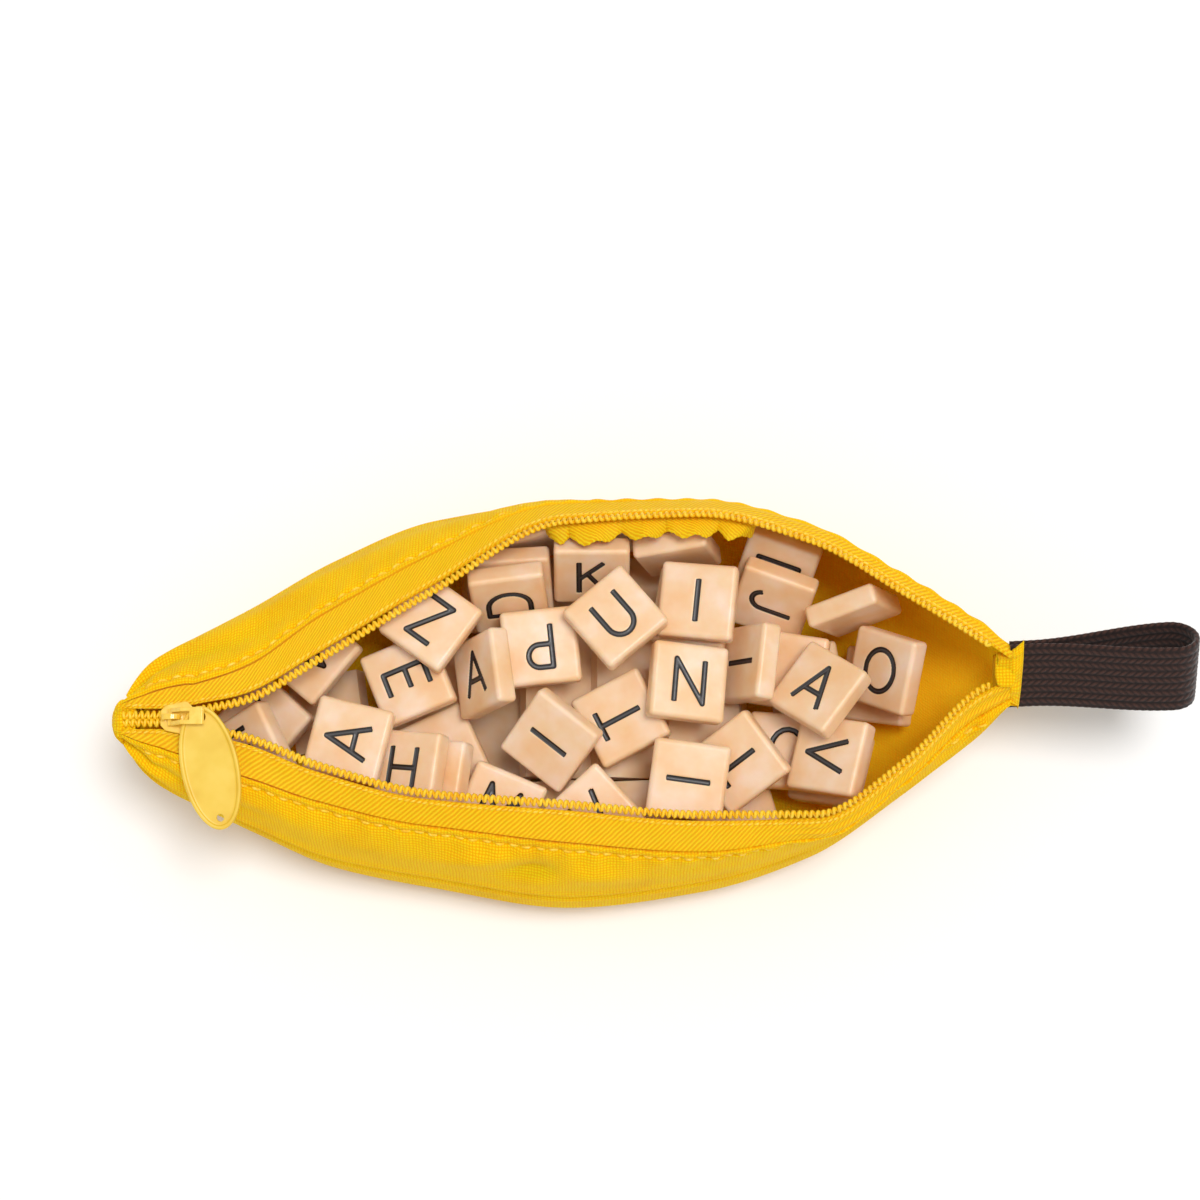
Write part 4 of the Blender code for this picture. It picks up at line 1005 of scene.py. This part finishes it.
def drilled(points, faces, holes):
    """A closed mesh with round holes cut through it along Z, as points and faces."""
    blank = in_scene("blank", closed_mesh("blank", points, faces))
    drills = []
    turn = full_turn(DRILL_SIDES)
    for x, y, radius in holes:
        ring = np.stack([x + radius * np.cos(turn), y + radius * np.sin(turn)], axis=-1)
        ends = [np.column_stack([ring, np.full(DRILL_SIDES, height)])
                for height in (-DRILL_REACH, DRILL_REACH)]
        rod = closed_mesh("drill", np.concatenate(ends), closed_tube(2, DRILL_SIDES))
        drills.append(in_scene("drill", rod))
        cut = blank.modifiers.new("hole", "BOOLEAN")
        cut.object = drills[-1]
        cut.solver = "EXACT"
    bpy.context.view_layer.update()
    result = bpy.data.meshes.new_from_object(
        blank.evaluated_get(bpy.context.evaluated_depsgraph_get()))
    for tool in [blank, *drills]:
        bpy.data.objects.remove(tool)
    places = np.zeros(3 * len(result.vertices))
    result.vertices.foreach_get("co", places)
    return places.reshape(-1, 3), [list(face.vertices) for face in result.polygons]


TAB_HOLE = TAB_LENGTH / 2 - TAB_HOLE_INSET
LOWER_HOLE = -TAB_HOLE + .3 * MM
LOWER_HOLE_SHARE = .62
tab_points, tab_faces = drilled(
    oval_rings(TAB_PROFILE), closed_tube(len(TAB_PROFILE), TAB_SIDES),
    [(0, TAB_HOLE, TAB_HOLE_RADIUS), (0, LOWER_HOLE, TAB_HOLE_RADIUS * LOWER_HOLE_SHARE)])
tab_turn = np.array(Matrix.Rotation(TAB_DROOP, 3, "X") @ Matrix.Rotation(TAB_TURN, 3, "Z"))
tab_points = (tab_points - (0, TAB_HOLE, 0)) @ tab_turn.T + np.array(joint_place("tab_swing"))
add_piece("soft_pull_tab", tab_points, tab_faces, [rubber], "tab",
          ("pull_tab",), sharp=35)
print_gap(tab_points, "pull_tab")

# %% [markdown]
# ## The tips
#
# At each tip the panels' seam allowances are gathered into a blunt nose. It is a loft
# from the pouch's end to a point, or at the strap to a slot, with pleats that run into
# it: the radius shrinks as a cosine and is rippled by a sine of the angle.

# %% Gathered noses
NOSE_SIDES = 96
NOSE_LEVELS = 14
NOSE_LENGTH = TIP_SEAM_LENGTH + .5 * MM
PLEAT_DEPTH = .07
SKIRT_INSET = 1.3 * MM
SKIRT_DEPTHS = np.array([[3.5 * MM], [.6 * MM]])
RING_RISE = .15 * MM


def end_ring(x):
    """The pouch's open end as points at even steps, with a straight line over its mouth.

    It follows the panels' roll and folds, and lies a little outside them.
    """
    around = np.linspace(0, LAST_KEY, 300)[:, None]
    here = np.array([x])
    panels = np.clip((np.minimum(around, LAST_KEY - around) - .6) / .8, 0, 1)
    rise = (.95 * tip_roll(here) + .8 * tip_folds(here, around)) * panels + RING_RISE
    ring = surface(here, around)[:, 0] + rise * outward(here, around)[:, 0]
    closed = np.vstack([ring, ring[:1]])
    run = run_of(closed)
    return read_at(np.linspace(0, run[-1], NOSE_SIDES, endpoint=False), run, closed)


def gathered_nose(name, x, way, width, lean, node, pleats, closing):
    """A dome over the end, flattened toward a slot that leans, with pleats.

    It closes to a point for closing 1, and stays open as wide as the slot for 0. A
    skirt inside the pouch hides where it meets the panels.
    """
    ring = end_ring(x)
    centre = ring.mean(axis=0)
    offsets = ring - centre
    slot = np.array([0, cos(lean), sin(lean)])
    over = np.array([0, -sin(lean), cos(lean)])
    angle = np.arctan2(offsets @ over, offsets @ slot)
    flat = (width / 2 * np.cos(angle))[:, None] * slot
    flat = flat + (TIP_SEAM_THICKNESS / 2 * np.sin(angle))[:, None] * over
    share = np.linspace(0, 1, NOSE_LEVELS)[:, None, None]
    shrink = 1 - closing * (1 - np.cos(share * pi / 2 * .96) ** .75)
    ripple = np.sin(pleats * angle + .8 * np.sin(3 * angle))[None, :, None]
    fold = 1 + PLEAT_DEPTH * ripple * np.sin(pi * share) ** .6
    layers = centre + (offsets * (1 - share ** 1.5) + flat * share ** 1.5) * shrink * fold
    layers[..., 0] = x + way * NOSE_LENGTH * np.sin(share[..., 0] * pi / 2)
    size = np.linalg.norm(offsets, axis=1, keepdims=True)
    inner_ring = centre + offsets * (1 - SKIRT_INSET / size)
    skirt = np.stack([inner_ring, inner_ring + (ring - inner_ring) * .4])
    skirt[..., 0] = x - way * SKIRT_DEPTHS
    layers = np.concatenate([skirt, layers])
    around = np.broadcast_to(run_of(ring), layers.shape[:2])
    add_piece(name, layers, closed_tube(len(layers), NOSE_SIDES), [canvas], "pouch",
              (node,), uv=np.stack([around, layers[..., 0]], axis=-1))


gathered_nose("left_tip_gather", LEFT_END, -1, 7 * MM, 0, "left_tip_seam", 9, 1)
gathered_nose("right_tip_gather", RIGHT_END, 1, WEBBING_WIDTH + 5 * MM, STRAP_LEAN,
              "right_tip_seam", 8, .15)

# %% Scraps of cloth at the zip's ends
TACK_SIDES = 40
TACK_LEVELS = 15
TACK_HALF_THICKNESS = .75 * MM
TACK_DROOP = .35 * MM
TACK_RIB = .12 * MM


def rounded_box(value):
    """A sine or cosine with its turns flattened: sign times |value| ** .6."""
    return np.sign(value) * np.abs(value) ** .6


def zip_end_tack(name, x, half_long, half_wide, lift):
    """A folded scrap of cloth over the zip's end: a rounded box with fine ribs."""
    back_y, rim_z = rim(1, x)
    front_y, front_z = rim(-1, x)
    turn, tip = np.meshgrid(full_turn(TACK_SIDES),
                            np.linspace(-pi / 2, pi / 2, TACK_LEVELS + 2)[1:-1])
    flat = rounded_box(np.cos(tip))
    points = np.stack([half_long * flat * rounded_box(np.cos(turn)),
                       half_wide * flat * rounded_box(np.sin(turn)),
                       TACK_HALF_THICKNESS * rounded_box(np.sin(tip))], axis=-1)
    points[..., 2] -= TACK_DROOP * (points[..., 1] / half_wide) ** 2
    points[..., 2] += TACK_RIB * np.sin(points[..., 1] / (.5 * MM)) * np.clip(flat, 0, 1)
    points += (x, float(back_y + front_y) / 2, float(rim_z + front_z) / 2 + lift)
    add_piece(name, points, closed_tube(TACK_LEVELS, TACK_SIDES), [canvas], "pouch",
              uv=points[..., :2])


zip_end_tack("zip_start_tack", LEFT_END + .9 * MM, 2.7 * MM, 4.6 * MM, -1.3 * MM)
zip_end_tack("zip_end_tack", RIGHT_END - 1.6 * MM, 2.6 * MM, 4.4 * MM, -1.1 * MM)

# %% [markdown]
# At the middle of the back, the overlocked inner edge of the zip tape has rolled out
# from under the teeth and shows as a wavy frill. Its width is scalloped by |sin| and it
# lifts and sinks with a slower sine.

# %% The frill
FRILL_START = -6 * MM
FRILL_END = 47 * MM
FRILL_WAVE = 12.5 * MM
FRILL_WIDTH = 1.8 * MM
SCALLOP_DEPTH = 3.9 * MM
FRILL_UNDER = 1.2 * MM
FRILL_SINK = 4.2 * MM
FRILL_SAG = .9 * MM
FRILL_THICKNESS = .5 * MM
OVERLOCK_PITCH = 1.3 * MM


def frill():
    """A strip under the back coil whose free edge is scalloped and waves up and down."""
    track = edge_track(1)
    x = np.linspace(FRILL_START, FRILL_END, 160)
    line, up, inward = (read_at(x, track[0][:, 0], values) for values in track[:3])
    share = np.linspace(0, 1, 12)[:, None]
    fade = np.clip(np.minimum(x - FRILL_START, FRILL_END - x) / (6 * MM), 0, 1) ** .5
    scallop = np.abs(np.sin(pi * (x + .8 * MM * np.sin(310 * x)) / FRILL_WAVE)) ** .8
    width = (FRILL_WIDTH + SCALLOP_DEPTH * scallop) * fade + .4 * MM
    away = -FRILL_UNDER + (FRILL_UNDER + 2 * MM * fade + width) * share
    wave = .55 * MM * np.sin(2 * pi * x / FRILL_WAVE * 2 + 1) * share ** 2
    stitches = .10 * MM * np.sin(2 * pi * x / OVERLOCK_PITCH) * share ** 3
    sag = -1.35 * MM - FRILL_SAG * share ** 2
    top = line + away[..., None] * inward + (wave + stitches + sag)[..., None] * up
    top[..., 2] -= FRILL_SINK * share ** 1.3
    points, faces = skin(top, top - FRILL_THICKNESS * up)
    uv = np.stack([np.broadcast_to(x, away.shape), away], axis=-1)
    add_piece("overlocked_frill", points, faces, [tape_finish], "pouch",
              uv=np.concatenate([uv, uv[::-1]]))


frill()

# %% [markdown]
# ## The wrist strap
#
# The loop is a flat braid of dark brown polyester, 18.5 mm wide. Its face shows rows
# of plaited knots that run lengthwise, each row slanting against the next. That relief
# is coarse enough to be real geometry: a ribbon carried round the loop, whose surface
# swells with a cosine across each row and a slanted sine along it. The colour follows
# the same height, kept as an attribute on the points: painted shade, near black, in the
# low places between the knots.

# %% The braid
BRAID_ROW = 1.85 * MM
KNOT_PITCH = 1.75 * MM
BRAID_RELIEF = .26 * MM

braid = new_material("braided_brown_polyester", "#4A3636", .85, {
    "Sheen Weight": .3, "Sheen Roughness": .45, "Specular IOR Level": .25})
# The knot height darkens the colour toward black in the low places: painted shade between the
# knots
knot_shade = add_node(braid, "Attribute", attribute_name="knot").outputs["Fac"]
fibre = mottle(braid, .35 * MM, 3, strength=.5, depth=.12 * MM)
finish(braid, {"Base Color": multiplied(
    braid, .5,
    add_node(braid, "ValToRGB", {"Fac": knot_shade}, [
        (.0, "#0E0705"), (.45, "#2C1B17"), (.85, "#4C3129")]),
    add_node(braid, "ValToRGB", {"Fac": fibre}, [
        (.3, "#6E6A6A"), (.5, "#C8C4C2"), (.7, "#FFFFFF")]))})

# %% The loop
STRAP_STEP = .34 * MM
WEBBING_COLUMNS = 54
STRAP_ROOT = 5 * MM
STRAP_BEND_ROOM = 2.5 * MM
SELVEDGE = .8 * MM
# The photographed loop ends a little short of its solid
STRAP_SHORTER = 2.4 * MM


def loop_line():
    """The middle of the webbing: out along one ply, round the turn and back again."""
    half = WEBBING_THICKNESS / 2
    turn_centre = STRAP_LENGTH - LOOP_RADIUS - STRAP_SHORTER
    share = np.linspace(0, 1, 60)
    rise = share * share * (3 - 2 * share)
    upper = np.stack([share * turn_centre, half + (LOOP_RADIUS - half) * rise], axis=-1)
    angle = np.linspace(pi / 2, -pi / 2, 60)[1:-1]
    turn = np.stack([turn_centre + LOOP_RADIUS * np.cos(angle), LOOP_RADIUS * np.sin(angle)], -1)
    root = np.array([[-STRAP_ROOT, half]])
    line = np.concatenate([root, upper, turn, upper[::-1] * (1, -1), root * (1, -1)])
    run = run_of(line)
    even = np.arange(0, run[-1], STRAP_STEP)
    return read_at(even, run, line), even


def braid_height(along_it, across_it, flip):
    """Rows |cos| across, times knots that slant one way in one row and back in the next."""
    row = across_it / BRAID_ROW
    crown = np.abs(np.cos(pi * row)) ** .7
    lean_way = np.where(np.floor(row + .5).astype(int) % 2 == 0, 1, -1) * flip
    inside_row = (row - np.round(row)) * BRAID_ROW
    knot = .5 + .5 * np.cos(2 * pi * (along_it + lean_way * 1.1 * inside_row) / KNOT_PITCH)
    return crown * (.35 + .65 * knot ** .7)


middle, walked_loop = loop_line()
ahead = unit(np.gradient(middle, axis=0))
aside = np.stack([-ahead[:, 1], ahead[:, 0]], axis=-1)
half_width = WEBBING_WIDTH / 2
across = np.linspace(-1, 1, WEBBING_COLUMNS)
edge_drop = np.clip((np.abs(across) * half_width - (half_width - SELVEDGE)) / SELVEDGE, 0, 1)
crown_height = WEBBING_THICKNESS / 2 * np.sqrt(np.maximum(1 - edge_drop ** 2, .04))
sides = []
# Heights that become painted shade between the knots, through the knot attribute
knot_shade_heights = []
for face in (1, -1):
    place = np.broadcast_to(across[::face] * half_width, (len(middle), len(across)))
    relief = braid_height(walked_loop[:, None], place, face)
    lift = face * (crown_height - BRAID_RELIEF * (1 - relief))
    level = middle[:, None] + aside[:, None] * lift[..., None]
    sides.append(np.concatenate([level, place[..., None]], axis=-1))
    knot_shade_heights.append(relief)
ribbon = np.concatenate(sides, axis=1)
away = Vector((cos(STRAP_DRIFT), sin(STRAP_DRIFT), 0))
wide = Vector((0, cos(STRAP_LEAN), sin(STRAP_LEAN)))
wide = (wide - away * wide.dot(away)).normalized()
strap_turn = np.array([away, -wide.cross(away), wide])
strap_root = joint_place("strap_bend")
ribbon_points = ribbon.reshape(-1, 3) @ strap_turn + np.array(strap_root)
add_piece("braided_strap", ribbon_points, closed_tube(len(middle), ribbon.shape[1]), [braid],
          "strap", ("strap_loop",),
          marks=("knot", np.concatenate(knot_shade_heights, axis=1)), sharp=180,
          bend=(strap_root - away * STRAP_BEND_ROOM, strap_root + away * STRAP_BEND_ROOM))
print_gap(ribbon_points, "strap_loop")

# %% [markdown]
# ## The tiles
#
# The tiles are small moulded squares of ivory urea plastic, 19 mm across and 5.5 mm
# thick, with softly rounded edges and a little light going through them. Each has one
# plain letter pressed into its face and filled with black. The letters are drawn here
# from plain strokes: a letter is a few lines and arcs, and the distance from a point to
# the nearest of them says how deep the groove is there and whether it is inked.

# %% Strokes of the letters
def arc(x, y, wide, high, start, end, steps=14):
    """Points on an oval's arc between two angles in degrees."""
    angle = np.radians(np.linspace(start, end, steps))
    return [(x + wide * a, y + high * b) for a, b in zip(np.cos(angle), np.sin(angle))]


# Each letter as lines through points, as shares of the letter's height
LETTER_SHARES = {
    "A": [[(-.38, -.5), (0, .5), (.38, -.5)], [(-.25, -.16), (.25, -.16)]],
    "C": [arc(.04, 0, .40, .5, 48, 312)],
    "D": [[(-.34, .5), (-.04, .5), *arc(-.04, 0, .40, .5, 90, -90), (-.34, -.5), (-.34, .5)]],
    "E": [[(.27, .5), (-.27, .5), (-.27, -.5), (.27, -.5)], [(-.27, .03), (.22, .03)]],
    "H": [[(-.33, .5), (-.33, -.5)], [(.33, .5), (.33, -.5)], [(-.33, .02), (.33, .02)]],
    "I": [[(0, .5), (0, -.5)]],
    "J": [[(.16, .5), (.16, -.22), *arc(-.08, -.22, .24, .28, 0, -165)]],
    "K": [[(-.30, .5), (-.30, -.5)], [(.28, .5), (-.30, -.06)], [(-.10, .12), (.34, -.5)]],
    "M": [[(-.42, -.5), (-.36, .5), (0, -.28), (.36, .5), (.42, -.5)]],
    "N": [[(-.34, -.5), (-.34, .5), (.34, -.5), (.34, .5)]],
    "O": [arc(0, 0, .42, .5, 0, 360, 36)],
    "P": [[(-.26, -.5), (-.26, .5), (.04, .5), *arc(.04, .23, .26, .27, 90, -90), (-.26, -.04)]],
    "T": [[(0, -.5), (0, .5)], [(-.36, .5), (.36, .5)]],
    "U": [[(-.33, .5), (-.33, -.16), *arc(0, -.16, .33, .34, 180, 360), (.33, .5)]],
    "V": [[(-.37, .5), (0, -.5), (.37, .5)]],
    "Z": [[(-.32, .5), (.32, .5), (-.32, -.5), (.32, -.5)]],
}
LETTER_HEIGHT = 10.6 * MM
STROKE_HALF = .70 * MM
INK_SPREAD = .05 * MM
GROOVE_DEPTH = .34 * MM


def stroke_distance(x, y, letter):
    """Distance to the nearest stroke, less half the stroke's width: below 0 is ink.

    Lines turn a corner round, and end square: past a line's end the distance is counted
    from the stroke's side.
    """
    nearest = np.full(x.shape, 1.0)
    for line in LETTER_SHARES.get(letter, []):
        points = np.array(line) * LETTER_HEIGHT
        loops = np.allclose(points[0], points[-1])
        for at, (start, end) in enumerate(zip(points[:-1], points[1:])):
            length = np.hypot(*(end - start))
            way = (end - start) / length
            before = -((x - start[0]) * way[0] + (y - start[1]) * way[1])
            after = -before - length
            beside = np.abs((x - start[0]) * way[1] - (y - start[1]) * way[0])
            past = np.maximum(np.maximum(before, after), 0)
            away = np.hypot(beside, past)
            square = np.maximum(beside, STROKE_HALF) + past
            if at == 0 and not loops:
                away = np.where(before > 0, square, away)
            if at == len(points) - 2 and not loops:
                away = np.where(after > 0, square, away)
            nearest = np.minimum(nearest, away)
    return nearest - STROKE_HALF


# %% [markdown]
# The finish is pale peach where light falls and a warm amber in the edges, because the
# plastic lets red light through further than blue: that is subsurface scattering, with
# a radius of a millimetre or so. The ink is a satin black with a paler line painted down
# the middle of the groove as a painted highlight.

# %% Tile plastic
tile_finish = new_material("moulded_ivory_urea_plastic", "#FBDDB6", .36, {
    "Subsurface Weight": .38, "Subsurface Radius": (1, .42, .16), "Subsurface Scale": 2.4 * MM,
    "Specular IOR Level": .5, "IOR": 1.5})
ivory = add_node(tile_finish, "ValToRGB", {"Fac": mottle(tile_finish, 9 * MM, 3)}, [
    (.3, "#EDBF8C"), (.5, "#F0CBA2"), (.7, "#F4D8BE")])
ink = add_node(tile_finish, "Attribute", attribute_name="ink").outputs["Fac"]
inked = add_node(tile_finish, "MapRange", {
    "Value": ink, "From Min": 0, "From Max": .08 * MM, "To Min": 0, "To Max": 1})
# A paler line down the middle of each stroke: a painted highlight of the groove
groove_highlight = add_node(tile_finish, "MapRange", {
    "Value": ink, "From Min": .45 * MM, "From Max": .65 * MM, "To Min": 0, "To Max": 1})
ink_and_groove_highlight = add_node(tile_finish, "Mix", {
    0: groove_highlight, 6: linear("#17120F"), 7: linear("#3E3A3B")}, data_type="RGBA").outputs[2]
tile_colour = add_node(tile_finish, "Mix", {
    0: inked, 6: ivory, 7: ink_and_groove_highlight}, data_type="RGBA").outputs[2]
speckle = mottle(tile_finish, 1.2 * MM, 4, strength=.12, depth=.05 * MM)
tile_gloss = add_node(tile_finish, "MapRange", {
    "Value": speckle, "From Min": .3, "From Max": .7, "To Min": .30, "To Max": .44})
finish(tile_finish, {"Base Color": tile_colour, "Roughness": tile_gloss})

# %% [markdown]
# A tile's face, its rounded edge and its sides are one grid. Inside, the grid lies flat.
# Its outer cells bend over the edge: there the grid's place gives a direction out from
# the nearest inner corner and an angle down, which makes a quarter round along each edge
# and an eighth of a ball at each corner. Below it go the walls and the lower edge.

# %% The shape of one tile
TILE_ROUND = 1.15 * MM
ROUND_CELLS = 5
FLAT_CELLS_LETTERED = 60
FLAT_CELLS_BLANK = 8


def tile_shape(letter):
    """Points, faces and ink distances of a tile that is centred on the origin."""
    flat_cells = FLAT_CELLS_LETTERED if letter in LETTER_SHARES else FLAT_CELLS_BLANK
    half = TILE_SIDE / 2 - TILE_ROUND
    beyond = np.arange(1, ROUND_CELLS + 1) / ROUND_CELLS
    steps = np.linspace(-half, half, flat_cells + 1)
    line = np.concatenate([np.full(ROUND_CELLS, -half), steps, np.full(ROUND_CELLS, half)])
    over = np.concatenate([-beyond[::-1], np.zeros(flat_cells + 1), beyond])
    x, y = np.meshgrid(line, line)
    out_x, out_y = np.meshgrid(over, over)
    down = np.maximum(np.abs(out_x), np.abs(out_y)) * pi / 2
    length = np.maximum(np.hypot(out_x, out_y), 1e-9)
    reach = TILE_ROUND * np.sin(down)
    top = TILE_THICKNESS / 2
    ink_away = stroke_distance(x, y, letter)
    sunk = np.clip((.04 * MM - ink_away) / (.34 * MM), 0, 1)
    groove = GROOVE_DEPTH * sunk * sunk * (3 - 2 * sunk)
    z = top - TILE_ROUND * (1 - np.cos(down)) - np.where(down > 0, 0, groove)
    cap = np.stack([x + out_x / length * reach, y + out_y / length * reach, z], axis=-1)
    size = len(line)
    number = np.arange(size * size).reshape(size, size)
    border = np.concatenate([number[0, :-1], number[:-1, -1], number[-1, :0:-1], number[:0:-1, 0]])
    outline = cap.reshape(-1, 3)[border]
    corner = np.stack([x, y, z * 0], axis=-1).reshape(-1, 3)[border]
    direction = unit((outline - corner) * (1, 1, 0))
    levels = []
    for angle in np.linspace(0, pi / 2, ROUND_CELLS + 1):
        layer = corner + direction * TILE_ROUND * np.cos(angle)
        layer[:, 2] = -top + TILE_ROUND - TILE_ROUND * np.sin(angle)
        levels.append(layer)
    points = np.concatenate([cap.reshape(-1, 3), *levels])
    count = len(border)
    loops = np.vstack([border, size * size + np.arange(len(levels) * count).reshape(-1, count)])
    upper, lower = loops[:-1], loops[1:]
    walls = np.stack([upper, np.roll(upper, -1, axis=1), np.roll(lower, -1, axis=1), lower], -1)
    faces = [*grid_faces(size, size), *walls[:, :, ::-1].reshape(-1, 4).tolist(),
             loops[-1][::-1].tolist()]
    marks = np.concatenate([ink_away.ravel(), np.full(len(points) - size * size, 1.0)])
    return points, faces, marks


# %% [markdown]
# The heap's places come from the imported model, which eased the tiles apart: a tile's
# middle is the middle of its solid's box. Its turn comes from three angles, the way the
# letter's top points, the tilt, and the way the face leans.

# %% Laying out the tiles
TILE_LETTERS = "....CV..D.KDJ....VVE..HEAAZPTIMUIINTIVOA"
# Degrees: letter's top, tilt and lean of each tile
TILE_TURNS = (
    (80, 5, 180), (100, 8, 150), (80, 10, 200), (104, 16, 90), (85, 6, 170),
    (133, 8, -90), (80, 38, 185), (76, 32, 165), (-20, 45, -110), (94, 55, -88),
    (90, 58, -90), (188, 58, -84), (-20, 50, -110), (120, 84, -80), (90, 86, -90),
    (110, 84, -84), (130, 84, -76), (138, 10, 200), (140, 8, 200), (117, 30, 200),
    (115, 4, 205), (82, 27, 172), (82, 27, 172), (22, 6, 200), (166, 4, 200),
    (100, 56, 185), (54, 2, 140), (276, 3, 250), (207, 8, 200), (142, 28, 228),
    (67, 8, -100), (130, 5, 130), (84, 8, 170), (173, 60, 173), (85, 12, 0),
    (216, 18, 216), (172, 8, -100), (-14, 32, 165), (72, 45, 190), (53, 30, 143),
)
LIFTED_TILES = (30, 32, 35)

shapes = {letter: tile_shape(letter) for letter in sorted(set(TILE_LETTERS))}
for number, (letter, turn) in enumerate(zip(TILE_LETTERS, TILE_TURNS), start=1):
    node = f"letter_tile_{number:02d}"
    low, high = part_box(node)
    way_up, tilt, lean = (radians(angle) for angle in turn)
    turned = (Matrix.Rotation(lean, 3, "Z") @ Matrix.Rotation(tilt, 3, "Y")
              @ Matrix.Rotation(way_up - pi / 2 - lean, 3, "Z"))
    points, faces, marks = shapes[letter]
    placed = points @ np.array(turned).T + np.array((low + high) / 2)
    body = f"lifted_tile_{number}" if number in LIFTED_TILES else "pouch"
    add_piece(f"ivory_tile_{number:02d}", placed, faces, [tile_finish], body,
              (node,), marks=("ink", INK_SPREAD - marks), sharp=180)

# %% [markdown]
# Below the tiles that show lie rows of more tiles, as solids of the model. They need
# only the same plastic, since no more than a corner of them is ever seen.

# %% The hidden rows
for node, solid in frame["nodes"].items():
    if node.startswith("hidden_tile_row"):
        solid.data.materials.clear()
        solid.data.materials.append(tile_finish)
